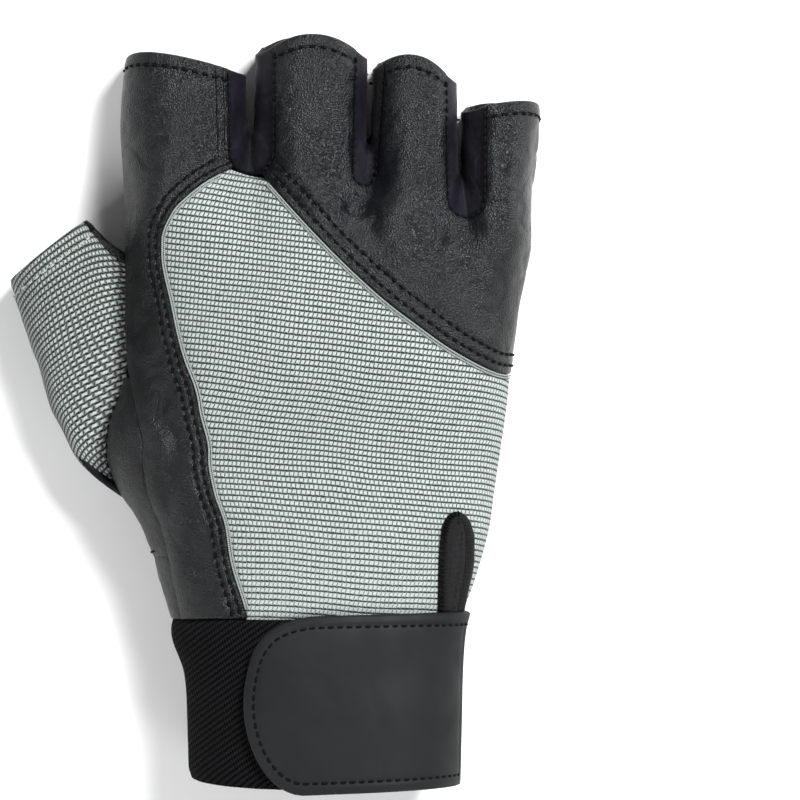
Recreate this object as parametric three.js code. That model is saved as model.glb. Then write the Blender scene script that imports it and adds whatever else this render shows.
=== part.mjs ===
// A half-finger weightlifting glove for the right hand, lying palm down as it would on a bench.
// The back of the hand faces +Z, the fingers point along +Y and the thumb towards -X. Sizes are in millimetres.
// The origin is on the resting plane, under the middle of the palm.
// Every panel is a shell cut from one shared skin. A place on that skin is a pair (turn, y): turn 0 is the crown of
// the back, 1 the little-finger side, 2 the middle of the palm and 3, or -1, the thumb side.
import * as THREE from "three";

// Driving sizes
const PALM_WIDTH = 96;
const PALM_LENGTH = 111; // cuff seam to the crotch of index and middle finger
const PALM_THICKNESS = 36.5;
const CUFF_HEIGHT = 42;
const CUFF_WIDTH = 71;
const CUFF_THICKNESS = 37.5;
const INDEX_LENGTH = 28.5; // finger lengths run from the crotch line to the hem
const MIDDLE_LENGTH = 32.5;
const RING_LENGTH = 27.5;
const LITTLE_LENGTH = 16.5;
const FINGER_THICKNESS = 22.5;
const THUMB_WIDTH = 24.8;
const THUMB_THICKNESS = 23;
const THUMB_REACH = 67.5; // middle of the palm to the middle of the thumb's hem, across the hand
const THUMB_ANGLE = 38; // degrees that the thumb leans away from the fingers
const LEATHER_WALL = 1.4;
const SUEDE_WALL = 1.5;
const KNIT_WALL = 1.5;
const STRETCH_WALL = 1.2;
const CUFF_WALL = 2.2;
const STRAP_WALL = 2.2;
const STRAP_LENGTH = 56;
const STRAP_HEIGHT = 42;
const PAD_WALL = 2;
const PIPING_DIAMETER = 1.4;
const SLIT_LENGTH = 25;
const SLIT_WIDTH = 9;
const BINDING_WIDTH = 2.4;
const BINDING_WALL = 1.2;
const GUSSET_WALL = 0.9;
const SEAM_GAP = 0.3;
const STACK_GAP = 0.5; // between a piece and the one it is sewn on

const CUFF_SEAM = -0.446 * PALM_LENGTH; // the palm's resting middle is y = 0
const CROTCH_LINE = CUFF_SEAM + PALM_LENGTH;
const PAD_LIFT = PAD_WALL + STACK_GAP; // how far the pads hold the palm off the surface

// The hand from the cuff seam upwards. along is a share of PALM_LENGTH, left and right of PALM_WIDTH, and crown
// (top of the body), side (height of its widest line) and web (how much of the palm's belly is left) are shares too.
const HAND = [
  { along: 0.0, left: -0.383, right: 0.37, crown: 0.98, side: 0.48, web: 1, lift: 0.45 },
  { along: 0.086, left: -0.41, right: 0.405, crown: 0.98, side: 0.47, web: 1, lift: 0.9 },
  { along: 0.203, left: -0.456, right: 0.442, crown: 0.99, side: 0.46, web: 1, lift: 1 },
  { along: 0.29, left: -0.52, right: 0.457, crown: 1.0, side: 0.45, web: 1, lift: 1 },
  { along: 0.37, left: -0.552, right: 0.471, crown: 1.0, side: 0.45, web: 1, lift: 1 },
  { along: 0.44, left: -0.545, right: 0.483, crown: 1.0, side: 0.44, web: 1, lift: 1 },
  { along: 0.541, left: -0.506, right: 0.498, crown: 1.0, side: 0.43, web: 1, lift: 1 },
  { along: 0.671, left: -0.5, right: 0.519, crown: 0.98, side: 0.41, web: 1, lift: 1 },
  { along: 0.806, left: -0.5, right: 0.542, crown: 0.9, side: 0.38, web: 1, lift: 1 },
  { along: 0.9, left: -0.501, right: 0.552, crown: 0.78, side: 0.36, web: 0.85, lift: 0.9 },
  { along: 0.97, left: -0.504, right: 0.56, crown: 0.63, side: 0.35, web: 0.6, lift: 0.6 },
  { along: 1.03, left: -0.508, right: 0.565, crown: 0.48, side: 0.33, web: 0.3, lift: 0.45 },
  { along: 1.104, left: -0.513, right: 0.573, crown: 0.31, side: 0.31, web: 0, lift: 0.35 },
  { along: 1.3, left: -0.497, right: 0.585, crown: 0.28, side: 0.3, web: 0, lift: 0.3 },
];

// The wrist from the cuff seam down. down is a share of CUFF_HEIGHT, left and right of CUFF_WIDTH, the rest of
// CUFF_THICKNESS.
const CUFF = [
  { down: 0.12, left: -0.51, right: 0.488, crown: 0.97, side: 0.47 },
  { down: 0.32, left: -0.468, right: 0.48, crown: 0.98, side: 0.48 },
  { down: 0.6, left: -0.456, right: 0.476, crown: 1.0, side: 0.49 },
  { down: 1.2, left: -0.45, right: 0.468, crown: 1.0, side: 0.49 },
];

// Each finger stall's widest lines at its root and its hem, as shares of PALM_WIDTH, and the height of its hem at
// the left, the middle and the right, as shares of its length.
const FINGERS = [
  { name: "index", length: INDEX_LENGTH, rootLeft: -0.5, rootRight: -0.178, tipLeft: -0.5, tipRight: -0.19, hem: [1, 1.05, 0.86] },
  { name: "middle", length: MIDDLE_LENGTH, rootLeft: -0.17, rootRight: 0.128, tipLeft: -0.16, tipRight: 0.129, hem: [0.95, 1.03, 0.915] },
  { name: "ring", length: RING_LENGTH, rootLeft: 0.138, rootRight: 0.37, tipLeft: 0.142, tipRight: 0.362, hem: [1, 1.03, 0.86] },
  { name: "little", length: LITTLE_LENGTH, rootLeft: 0.38, rootRight: 0.565, tipLeft: 0.374, tipRight: 0.58, hem: [0.99, 1.06, 0.86] },
];
const FINGER_SWELL = 1.16; // the stall is this much thicker at its root than at its hem

// The U that each side wall between two fingers follows, on the back, half way down and on the palm. x, half and
// the two tips are shares of PALM_WIDTH, low is a share of PALM_LENGTH.
const WEBS = [
  {
    name: "index_middle",
    back: { x: -0.171, half: 0.058, low: 1.0, tips: [-0.235, -0.113] },
    mid: { x: -0.175, half: 0.009, low: 1.09, tips: [-0.189, -0.162] },
    palm: { x: -0.19, half: 0.034, low: 0.998, tips: [-0.243, -0.149] },
  },
  {
    name: "middle_ring",
    back: { x: 0.122, half: 0.032, low: 0.972, tips: [0.098, 0.174] },
    mid: { x: 0.133, half: 0.006, low: 1.07, tips: [0.128, 0.143] },
    palm: { x: 0.107, half: 0.028, low: 0.976, tips: [0.073, 0.156] },
  },
  {
    name: "ring_little",
    back: { x: 0.386, half: 0.05, low: 0.9, tips: [0.332, 0.437] },
    mid: { x: 0.371, half: 0.006, low: 1.0, tips: [0.361, 0.376] },
    palm: { x: 0.359, half: 0.026, low: 0.905, tips: [0.312, 0.385] },
  },
];
const ARC_SHARE = 0.4; // the part of a U's travel that is its round bottom
const APEX = [-0.21, 0.1]; // where the knit panel's tip meets the first U

// Seams on the back, as shares of PALM_WIDTH across and PALM_LENGTH above the cuff seam
const THUMB_SIDE_SEAM = [
  { across: -0.183, along: 0 },
  { across: -0.23, along: 0.143 },
  { across: -0.26, along: 0.259 },
  { across: -0.285, along: 0.371 },
  { across: -0.31, along: 0.476 },
  { across: -0.35, along: 0.587 },
  { across: -0.385, along: 0.716 },
  { across: -0.405, along: 0.795 },
  { across: -0.407, along: 0.847 },
  { across: -0.38, along: 0.912 },
  { across: -0.34, along: 0.95 },
  { across: -0.28, along: 0.989 },
];
const DIAGONAL_SEAM = [
  { across: -0.048, along: 0.905 },
  { across: 0.056, along: 0.811 },
  { across: 0.155, along: 0.731 },
  { across: 0.238, along: 0.674 },
  { across: 0.347, along: 0.607 },
  { across: 0.441, along: 0.563 },
  { across: 0.49, along: 0.551 },
];
const DIAGONAL_END = 0.551;
// The turn at which the back meets the palm on the little-finger side, and the folded seam on the thumb side
const ULNAR_SEAM = [
  { along: 0, turn: 1.33 },
  { along: 0.08, turn: 1.36 },
  { along: 0.167, turn: 1.3 },
  { along: 0.257, turn: 1.25 },
  { along: 0.47, turn: 1.2 },
  { along: 1.3, turn: 1.2 },
];
const FOLD_SEAM = [
  { along: 0, turn: -0.75 },
  { along: 0.08, turn: -0.735 },
  { along: 0.22, turn: -0.683 },
  { along: 0.38, turn: -0.593 },
  { along: 0.47, turn: -0.68 },
  { along: 0.56, turn: -0.87 },
  { along: 0.65, turn: -1 },
  { along: 1.3, turn: -1 },
];
// The palm's left edge above the suede's lower edge: the thumb's opening, then the index finger's side seam
const PALM_LEFT = [
  { along: 0.25, turn: 3 },
  { along: 0.285, turn: 3 },
  { along: 0.31, turn: 2.8 },
  { along: 0.35, turn: 2.68 },
  { along: 0.47, turn: 2.6 },
  { along: 0.6, turn: 2.62 },
  { along: 0.72, turn: 2.72 },
  { along: 0.79, turn: 2.85 },
  { along: 0.825, turn: 3 },
  { along: 1.3, turn: 3 },
];
const THUMB_OPENING = { low: 0.287, high: 0.82 };
// Seams on the palm, again as shares across and along, from the thumb side to the little-finger side
const SUEDE_EDGE = [
  { across: -0.42, along: 0.33 },
  { across: -0.31, along: 0.318 },
  { across: -0.188, along: 0.302 },
  { across: -0.062, along: 0.281 },
  { across: 0.077, along: 0.257 },
  { across: 0.217, along: 0.245 },
  { across: 0.36, along: 0.25 },
];
const THENAR_EDGE = [
  { across: -0.1, along: 0.284 },
  { across: -0.115, along: 0.207 },
  { across: -0.146, along: 0.149 },
  { across: -0.188, along: 0.112 },
  { across: -0.24, along: 0.1 },
  { across: -0.33, along: 0.112 },
  { across: -0.405, along: 0.13 },
];
const PAD_ARC = [
  { across: -0.41, along: 0.715 },
  { across: -0.34, along: 0.722 },
  { across: -0.23, along: 0.719 },
  { across: -0.125, along: 0.705 },
  { across: -0.027, along: 0.678 },
  { across: 0.042, along: 0.635 },
  { across: 0.098, along: 0.575 },
  { across: 0.125, along: 0.485 },
  { across: 0.133, along: 0.365 },
  { across: 0.133, along: 0.282 },
];
const PAD_ARC_CORNER = 0.52; // where along the arc the thumb-side pad turns from its top edge to its right edge
const OUTER_PAD_EDGE = [
  { across: -0.42, along: 0.83 },
  { across: -0.3, along: 0.832 },
  { across: -0.125, along: 0.827 },
  { across: 0.2, along: 0.808 },
  { across: 0.37, along: 0.795 },
  { across: 0.43, along: 0.765 },
  { across: 0.445, along: 0.7 },
  { across: 0.435, along: 0.5 },
  { across: 0.41, along: 0.36 },
  { across: 0.39, along: 0.28 },
];
// The middle line of the binding round the slit at the wrist
const SLIT = { across: 0.365, top: 0.238, bottom: 0.024, lean: 0.008 };
// The strap: the turn its sewn end lies at, how much it falls towards its free end and how round that end is
const STRAP = { right: 0.93, slope: 0.045, round: 0.32 };
const STRAP_SEWN = 0.385 * PALM_WIDTH;

const mix = (a, b, share) => a + (b - a) * share;
const clamp = (value, low, high) => Math.min(high, Math.max(low, value));
const alongY = (along) => CUFF_SEAM + along * PALM_LENGTH;
const halfTurn = Math.PI / 2;

// A smooth line through a table's rows that never swings past a row: its slope is 0 wherever the column turns back.
function track(rows, key, column) {
  const at = rows.map((row) => row[key]);
  const value = rows.map((row) => row[column]);
  const slope = value.map((v, i) => {
    const before = Math.max(i - 1, 0);
    const after = Math.min(i + 1, value.length - 1);
    const turnsBack = before < i && i < after && (v - value[before]) * (value[after] - v) <= 0;
    return turnsBack ? 0 : (value[after] - value[before]) / (at[after] - at[before]);
  });
  return (x) => {
    if (x <= at[0]) return value[0];
    if (x >= at[at.length - 1]) return value[value.length - 1];
    let i = 0;
    while (x > at[i + 1]) i += 1;
    const step = at[i + 1] - at[i];
    const s = (x - at[i]) / step;
    const ease = s * s * (3 - 2 * s);
    const leave = s * (1 - s) * (1 - s) * step * slope[i];
    const arrive = s * s * (1 - s) * step * slope[i + 1];
    return mix(value[i], value[i + 1], ease) + leave - arrive;
  };
}

// The same through points of the plane, by the length along them: share 0 is the first point, 1 the last.
function route(points) {
  let travelled = 0;
  const rows = points.map(([u, v], i) => {
    if (i > 0) travelled += Math.hypot(u - points[i - 1][0], v - points[i - 1][1]);
    return { at: travelled, u, v };
  });
  const u = track(rows, "at", "u");
  const v = track(rows, "at", "v");
  return (share) => [u(share * travelled), v(share * travelled)];
}

// The skin's outline and heights at each y, the cuff's rows below the seam and the hand's above it.
const outlineRows = [
  ...CUFF.map((row) => ({
    y: CUFF_SEAM - row.down * CUFF_HEIGHT,
    left: row.left * CUFF_WIDTH,
    right: row.right * CUFF_WIDTH,
    crown: row.crown * CUFF_THICKNESS,
    side: row.side * CUFF_THICKNESS,
    web: 1,
    lift: 0,
  })).reverse(),
  ...HAND.map((row) => ({
    y: alongY(row.along),
    left: row.left * PALM_WIDTH,
    right: row.right * PALM_WIDTH,
    crown: row.crown * PALM_THICKNESS,
    side: row.side * PALM_THICKNESS,
    web: row.web,
    lift: row.lift * PAD_LIFT,
  })),
];
const leftAt = track(outlineRows, "y", "left");
const rightAt = track(outlineRows, "y", "right");
const crownAt = track(outlineRows, "y", "crown");
const sideAt = track(outlineRows, "y", "side");
const webAt = track(outlineRows, "y", "web");
const liftAt = track(outlineRows, "y", "lift");
const ulnarTurn = track(ULNAR_SEAM, "along", "turn");
const foldTurn = track(FOLD_SEAM, "along", "turn");
const palmLeftTurn = track(PALM_LEFT, "along", "turn");
const share = (y) => (y - CUFF_SEAM) / PALM_LENGTH;

// Places are measured on a flat drawing of the skin in which one turn is this long
const TURN_LENGTH = 60;
const flat = ([turn, y]) => [turn * TURN_LENGTH, y];
const folded = ([u, y]) => [u / TURN_LENGTH, y];

const BLEND = 4; // how sharply the body and the finger stalls join: higher leaves deeper valleys
const BACK_ROUND = 2.4;
const PALM_ROUND = 4;
const STALL_ROUND = 3;
const PRESS = 3; // the palm side would reach this far below the surface, so it lies flat on it
const SOFTNESS = 2; // and this is how gently it lifts off

const dome = (offset, halfWidth, power) => Math.sqrt(Math.max(0, 1 - Math.abs(offset / halfWidth) ** power));

// The stalls grow out of the body between these two shares of PALM_LENGTH.
const STALLS_START = 0.58;
const STALLS_FULL = 0.92;

function stalls(x, y, power) {
  const grown = clamp((share(y) - STALLS_START) / (STALLS_FULL - STALLS_START), 0, 1);
  const strength = grown * grown * (3 - 2 * grown);
  return FINGERS.map((finger) => {
    const rise = clamp((y - CROTCH_LINE) / finger.length, -1.2, 1.3);
    const left = finger.name === "index" ? leftAt(y) : mix(finger.rootLeft, finger.tipLeft, rise) * PALM_WIDTH;
    const right = finger.name === "little" ? rightAt(y) : mix(finger.rootRight, finger.tipRight, rise) * PALM_WIDTH;
    const swell = mix(FINGER_SWELL, 1, clamp(rise, -0.5, 1));
    const part = strength * dome(x - (left + right) / 2, (right - left) / 2, power);
    return { crown: swell * FINGER_THICKNESS, part };
  });
}

function backZ(x, y) {
  const side = sideAt(y);
  const middle = (leftAt(y) + rightAt(y)) / 2;
  const body = Math.max(0, crownAt(y) - side) * dome(x - middle, rightAt(y) - middle, BACK_ROUND);
  let sum = body ** BLEND;
  stalls(x, y, BACK_ROUND).forEach(({ crown, part }) => (sum += ((crown - side) * part) ** BLEND));
  return side + sum ** (1 / BLEND);
}

function palmZ(x, y) {
  const side = sideAt(y);
  const floor = liftAt(y);
  const depth = side - floor + PRESS;
  const middle = (leftAt(y) + rightAt(y)) / 2;
  let sum = (webAt(y) * depth * dome(x - middle, rightAt(y) - middle, PALM_ROUND)) ** BLEND;
  stalls(x, y, STALL_ROUND).forEach(({ part }) => (sum += (depth * part) ** BLEND));
  const height = side - sum ** (1 / BLEND) - floor;
  if (height > SOFTNESS) return floor + height;
  return height < -SOFTNESS ? floor : floor + (height + SOFTNESS) ** 2 / (4 * SOFTNESS);
}

function skinPoint([turn, y]) {
  const middle = (leftAt(y) + rightAt(y)) / 2;
  const x = middle + (rightAt(y) - middle) * Math.sin(turn * halfTurn);
  const onBack = Math.cos(turn * halfTurn) >= 0;
  return new THREE.Vector3(x, y, onBack ? backZ(x, y) : palmZ(x, y));
}

// The outward normal of any surface that runs round the hand with its first number and up it with its second.
function normalOf(surface, [u, v], du, dv) {
  const along = surface([u + du, v]).sub(surface([u - du, v]));
  const up = surface([u, v + dv]).sub(surface([u, v - dv]));
  return along.cross(up).normalize();
}

const raised = (surface, at, height, du = 0.02, dv = 0.6) =>
  surface(at).addScaledVector(normalOf(surface, at, du, dv), height);

const backTurn = (x, y) => {
  const middle = (leftAt(y) + rightAt(y)) / 2;
  return Math.asin(clamp((x - middle) / (rightAt(y) - middle), -1, 1)) / halfTurn;
};
const palmTurn = (x, y) => 2 - backTurn(x, y);

// A closed shell from a grid of outer and inner points. keep(i, j) says which cells are cloth; around makes the
// first number's last column meet its first.
function shell(columns, rows, outer, inner, keep = () => true, around = false) {
  const count = around ? columns : columns + 1;
  const positions = [];
  const index = new Map();
  const place = (i, j, inside) => {
    const key = `${i % count},${j},${inside}`;
    if (!index.has(key)) {
      index.set(key, positions.length / 3);
      positions.push(...(inside ? inner : outer)(i % count, j).toArray());
    }
    return index.get(key);
  };
  const faces = [];
  const edges = new Map();
  const corners = [];
  for (let i = 0; i < columns; i += 1) {
    for (let j = 0; j < rows; j += 1) {
      if (!keep(i, j)) continue;
      const square = [[i, j], [i + 1, j], [i + 1, j + 1], [i, j + 1]];
      const [a, b, c, d] = square.map(([m, n]) => place(m, n, false));
      const [e, f, g, h] = square.map(([m, n]) => place(m, n, true));
      faces.push(a, b, c, a, c, d, e, g, f, e, h, g);
      corners.push([a, e], [b, f], [c, g], [d, h]);
      [[a, b], [b, c], [c, d], [d, a]].forEach(([p, q]) => edges.set(`${p},${q}`, [p, q]));
    }
  }
  const under = new Map(corners);
  edges.forEach(([p, q]) => {
    if (edges.has(`${q},${p}`)) return;
    faces.push(q, p, under.get(p), q, under.get(p), under.get(q));
  });
  const geometry = new THREE.BufferGeometry();
  geometry.setAttribute("position", new THREE.Float32BufferAttribute(positions, 3));
  geometry.setIndex(faces);
  geometry.computeVertexNormals();
  return geometry;
}

// A panel of the skin: at(i, j) gives (turn, y), top is its height over the skin and wall its thickness.
function panel(columns, rows, at, wall, top = 0, keep, around) {
  const outer = (i, j) => raised(skinPoint, at(i, j), top);
  const inner = (i, j) => raised(skinPoint, at(i, j), top - wall);
  return shell(columns, rows, outer, inner, keep, around);
}

// Points of a U round a web: travel -1 is the left finger's hem, 0 the crotch and 1 the right finger's hem.
function hemY(finger, where) {
  const [left, middle, right] = finger.hem;
  return CROTCH_LINE + finger.length * (mix(left, right, where) + (middle - (left + right) / 2) * 4 * where * (1 - where));
}

function webPoint(k, level, travel) {
  const { x, half, low, tips } = WEBS[k][level];
  const way = Math.sign(travel);
  const shoulderRise = Math.max(half * PALM_WIDTH, 2);
  const reach = Math.abs(travel);
  const angle = (Math.min(reach, ARC_SHARE) / ARC_SHARE) * halfTurn;
  const shoulder = [
    x * PALM_WIDTH + way * half * PALM_WIDTH * Math.sin(angle),
    alongY(low) + shoulderRise * (1 - Math.cos(angle)),
  ];
  if (reach <= ARC_SHARE) return shoulder;
  const up = (reach - ARC_SHARE) / (1 - ARC_SHARE);
  const tip = [tips[way < 0 ? 0 : 1] * PALM_WIDTH, way < 0 ? hemY(FINGERS[k], 0.9) : hemY(FINGERS[k + 1], 0.1)];
  return [mix(shoulder[0], tip[0], up), mix(shoulder[1], tip[1], up)];
}

const onBack = ([x, y]) => [backTurn(x, y), y];
const onPalm = ([x, y]) => [palmTurn(x, y), y];
const between = (a, b, s) => [mix(a[0], b[0], s), mix(a[1], b[1], s)];
const halfGap = SEAM_GAP / 2 + 0.05;

// A smooth seam through places on the skin
function seam(places) {
  const line = route(places.map(flat));
  return (s) => folded(line(clamp(s, 0, 1)));
}
const onSkin = (rows, place) => rows.map(({ across, along }) => place([across * PALM_WIDTH, alongY(along)]));

// How far along a seam it first passes a turn
function passing(line, turn) {
  const rising = line(1)[0] > line(0)[0];
  let low = 0;
  let high = 1;
  for (let n = 0; n < 30; n += 1) {
    const middle = (low + high) / 2;
    if (line(middle)[0] > turn === rising) high = middle;
    else low = middle;
  }
  return high;
}

// The patch of skin inside four seams, at s of the way across and q of the way up
function patch({ bottom, top, left, right }, s, q) {
  const across = between(flat(bottom(s)), flat(top(s)), q);
  const ends = [left(q), right(q)].map(flat);
  const straight = [0, 1].map((end) => between(flat(bottom(end)), flat(top(end)), q));
  const place = [0, 1].map((n) => across[n] + (1 - s) * (ends[0][n] - straight[0][n]) + s * (ends[1][n] - straight[1][n]));
  return folded(place);
}

// A place moved by millimetres to the left of a seam
function beside(line, s, distance) {
  const here = line(s);
  const heading = skinPoint(line(Math.min(1, s + 0.01))).sub(skinPoint(line(Math.max(0, s - 0.01)))).normalize();
  const aside = normalOf(skinPoint, here, 0.02, 0.6).cross(heading).multiplyScalar(distance);
  const step = 0.01;
  const round = skinPoint([here[0] + step, here[1]]).sub(skinPoint([here[0] - step, here[1]])).divideScalar(2 * step);
  return [here[0] + (aside.x * round.x + aside.z * round.z) / (round.x ** 2 + round.z ** 2), here[1] + aside.y];
}

// The same for a side seam that runs straight up the hand at a turn of its own
function sideways(turn, y, distance) {
  const step = 0.01;
  const length = skinPoint([turn + step, y]).distanceTo(skinPoint([turn - step, y])) / (2 * step);
  return [turn + distance / length, y];
}

const thumbSideSeam = seam([...onSkin(THUMB_SIDE_SEAM, onBack), onBack(webPoint(0, "back", APEX[0]))]);
const diagonalSeam = seam([
  onBack(webPoint(0, "back", APEX[1])),
  ...onSkin(DIAGONAL_SEAM, onBack),
  [1, alongY(DIAGONAL_END)],
  [ulnarTurn(DIAGONAL_END), alongY(DIAGONAL_END)],
]);
const ulnar = (y, distance) => sideways(ulnarTurn(share(y)), y, distance);
const palmLeft = (y, distance) => sideways(palmLeftTurn(share(y)), y, distance);
const fold = (y, distance) => sideways(foldTurn(share(y)), y, distance);

const COLOURS = {
  leather: { color: 0x1d1e20, roughness: 0.5, metalness: 0 },
  knit: { color: 0xa9b0ab, roughness: 0.9, metalness: 0 },
  suede: { color: 0x1f1e1a, roughness: 0.95, metalness: 0 },
  stretch: { color: 0x0b0a12, roughness: 0.6, metalness: 0 },
  elastic: { color: 0x0d0c10, roughness: 0.9, metalness: 0 },
  strap: { color: 0x35383b, roughness: 0.6, metalness: 0 },
  piping: { color: 0x8d9793, roughness: 0.5, metalness: 0 },
  binding: { color: 0x101012, roughness: 0.9, metalness: 0 },
};
const finish = Object.fromEntries(Object.entries(COLOURS).map(([k, v]) => [k, new THREE.MeshStandardMaterial(v)]));

const glove = new THREE.Group();
function add(name, geometry, material) {
  const mesh = new THREE.Mesh(geometry, finish[material]);
  mesh.name = name;
  glove.add(mesh);
}

// Leather over the back of the index finger and down the thumb side to the cuff
function indexLeather() {
  const columns = 7;
  const low = 18;
  const arc = 4;
  const high = 4;
  const topLeft = hemY(FINGERS[0], 0.02);
  const shoulderY = alongY(WEBS[0].back.low) - 6;
  const at = (i, j) => {
    const s = i / columns;
    if (j <= low) {
      const q = j / low;
      const y = mix(CUFF_SEAM + halfGap, shoulderY, q);
      return between(fold(y, halfGap), beside(thumbSideSeam, mix(0.004, 0.99, q), halfGap), s);
    }
    const q = (j - low) / (arc + high);
    const travel =
      j <= low + arc
        ? mix(APEX[0] - 0.015, -ARC_SHARE, (j - low) / arc)
        : mix(-ARC_SHARE, -1, (j - low - arc) / high);
    const bump = hemY(FINGERS[0], s * 0.9) - mix(topLeft, hemY(FINGERS[0], 0.9), s);
    const place = between(fold(mix(shoulderY, topLeft, q), halfGap), onBack(webPoint(0, "back", travel)), s);
    return [place[0], place[1] + bump * q * q];
  };
  return panel(columns, low + arc + high, at, LEATHER_WALL);
}
add("index_leather", indexLeather(), "leather");

// A panel that ends in finger stalls. order lists its fingers in the order of rising turn; bottom, first and last
// are its other three sides, each from 0 to 1, and first and last go on to 2 at the hems.
function fingersPanel({ level, order, fingerCells, gapCells, lower, upper, bottom, first, last, wall }) {
  const place = level === "back" ? onBack : onPalm;
  const step = order.length > 1 ? order[1] - order[0] : 1;
  const spans = order.flatMap((finger, n) => {
    const span = [{ finger, cells: fingerCells[n] }];
    return n < order.length - 1 ? [...span, { web: Math.min(finger, finger + step), cells: gapCells }] : span;
  });
  const starts = spans.map((_, n) => spans.slice(0, n).reduce((sum, span) => sum + span.cells, 0));
  const columns = starts[spans.length - 1] + spans[spans.length - 1].cells;
  const spanOf = (i) => starts.findLastIndex((start) => i >= start && i < columns + 1);
  const edge = (n, ahead, q) => {
    if (!ahead && n === 0) return first(1 + q);
    if (ahead && n === spans.length - 1) return last(1 + q);
    const web = spans[ahead ? n + 1 : n - 1].web;
    const travel = mix(ARC_SHARE, 1, q);
    return place(webPoint(web, level, web === spans[n].finger ? -travel : travel));
  };
  const fingerAt = (n, f, q) => {
    const { hem } = FINGERS[spans[n].finger];
    const bump = (hem[1] - (hem[0] + hem[2]) / 2) * FINGERS[spans[n].finger].length * 4 * f * (1 - f);
    const [turn, y] = between(edge(n, false, q), edge(n, true, q), f);
    return [turn, y + bump * q * q];
  };
  const top = (s) => {
    const i = s * columns;
    const n = spanOf(i);
    const f = (i - starts[n]) / spans[n].cells;
    if (spans[n].finger !== undefined) return fingerAt(n, f, 0);
    return place(webPoint(spans[n].web, level, step * mix(-ARC_SHARE, ARC_SHARE, f)));
  };
  const at = (i, j) => {
    if (j <= lower) return patch({ bottom, top, left: first, right: last }, i / columns, j / lower);
    const q = (j - lower) / upper;
    const n = spanOf(i);
    if (spans[n].finger !== undefined) return fingerAt(n, (i - starts[n]) / spans[n].cells, q);
    return i === starts[n] ? fingerAt(n - 1, 1, q) : top(i / columns);
  };
  const keep = (i, j) => j < lower || spans[spanOf(i)].finger !== undefined;
  return panel(columns, lower + upper, at, wall, 0, keep);
}

// Leather over the knuckles and the backs of the other three fingers, round the little-finger side
function knuckleLeather() {
  const root = alongY(WEBS[2].back.low);
  const last = (q) => {
    const y = q < 1 ? mix(alongY(DIAGONAL_END) + halfGap, root, q) : mix(root, hemY(FINGERS[3], 1), q - 1);
    return ulnar(y, -halfGap);
  };
  const first = (q) => {
    const travel = q < 1 ? mix(APEX[1] + 0.015, ARC_SHARE, q) : mix(ARC_SHARE, 1, q - 1);
    return onBack(webPoint(0, "back", travel));
  };
  const bottom = (s) => {
    if (s === 0) return first(0);
    return s === 1 ? last(0) : beside(diagonalSeam, s, halfGap);
  };
  return fingersPanel({
    level: "back", order: [1, 2, 3], fingerCells: [4, 4, 6], gapCells: 4, lower: 6, upper: 4,
    bottom, first, last, wall: LEATHER_WALL,
  });
}
add("knuckle_leather", knuckleLeather(), "leather");

// The knit over the back of the hand, with its tip between index and middle finger, down to the cuff and round the
// little-finger side
function backKnit() {
  const columns = 11;
  const sideColumns = 3;
  const low = 9;
  const high = 9;
  const corner = passing(diagonalSeam, 1);
  const at = (i, j) => {
    const q = j / (low + high);
    const left = beside(thumbSideSeam, mix(0.004, 0.99, q), -halfGap);
    const floor = CUFF_SEAM + halfGap;
    const seamSide = (s) => beside(diagonalSeam, s, -halfGap);
    if (i > columns) {
      const s = (i - columns) / sideColumns;
      const top = s === 1 ? ulnar(alongY(DIAGONAL_END) - halfGap, -halfGap) : seamSide(mix(corner, 1, s));
      const y = mix(floor, top[1], j / low);
      return [mix(1, ulnar(y, -halfGap)[0], s), y];
    }
    const right = j <= low ? [1, mix(floor, seamSide(corner)[1], j / low)] : seamSide(mix(corner, 0.02, (j - low) / high));
    return between(j === 0 ? [left[0], floor] : left, right, i / columns);
  };
  return panel(columns + sideColumns, low + high, at, KNIT_WALL, 0, (i, j) => i < columns || j < low);
}
add("back_knit", backKnit(), "knit");

// The stretch wall between two fingers: a U from one hem to the other, sagging towards the tips half way down
function sideWall(k) {
  const columns = 18;
  const rows = 6;
  const surface = ([travel, down]) => {
    const [backX, backY] = webPoint(k, "back", travel);
    const [palmX, palmY] = webPoint(k, "palm", travel);
    const [midX, midY] = webPoint(k, "mid", travel);
    const top = new THREE.Vector3(backX, backY, backZ(backX, backY) - LEATHER_WALL - 1.5 * SEAM_GAP);
    const under = new THREE.Vector3(palmX, palmY, palmZ(palmX, palmY) + SUEDE_WALL + 3 * SEAM_GAP);
    const swell = Math.sin(clamp(down, 0, 1) * Math.PI);
    const point = top.clone().lerp(under, down);
    point.x += (midX - (backX + palmX) / 2) * swell;
    point.y += (midY - (backY + palmY) / 2) * swell;
    return point;
  };
  const place = (i, j) => [mix(-1, 1, i / columns), mix(0, 1, j / rows)];
  const outer = (i, j) => surface(place(i, j));
  const inner = (i, j) => raised(surface, place(i, j), -STRETCH_WALL, 0.02, 0.02);
  return shell(columns, rows, outer, inner);
}
WEBS.forEach(({ name }, k) => add(`fourchette_${name}`, sideWall(k), "stretch"));

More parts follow.
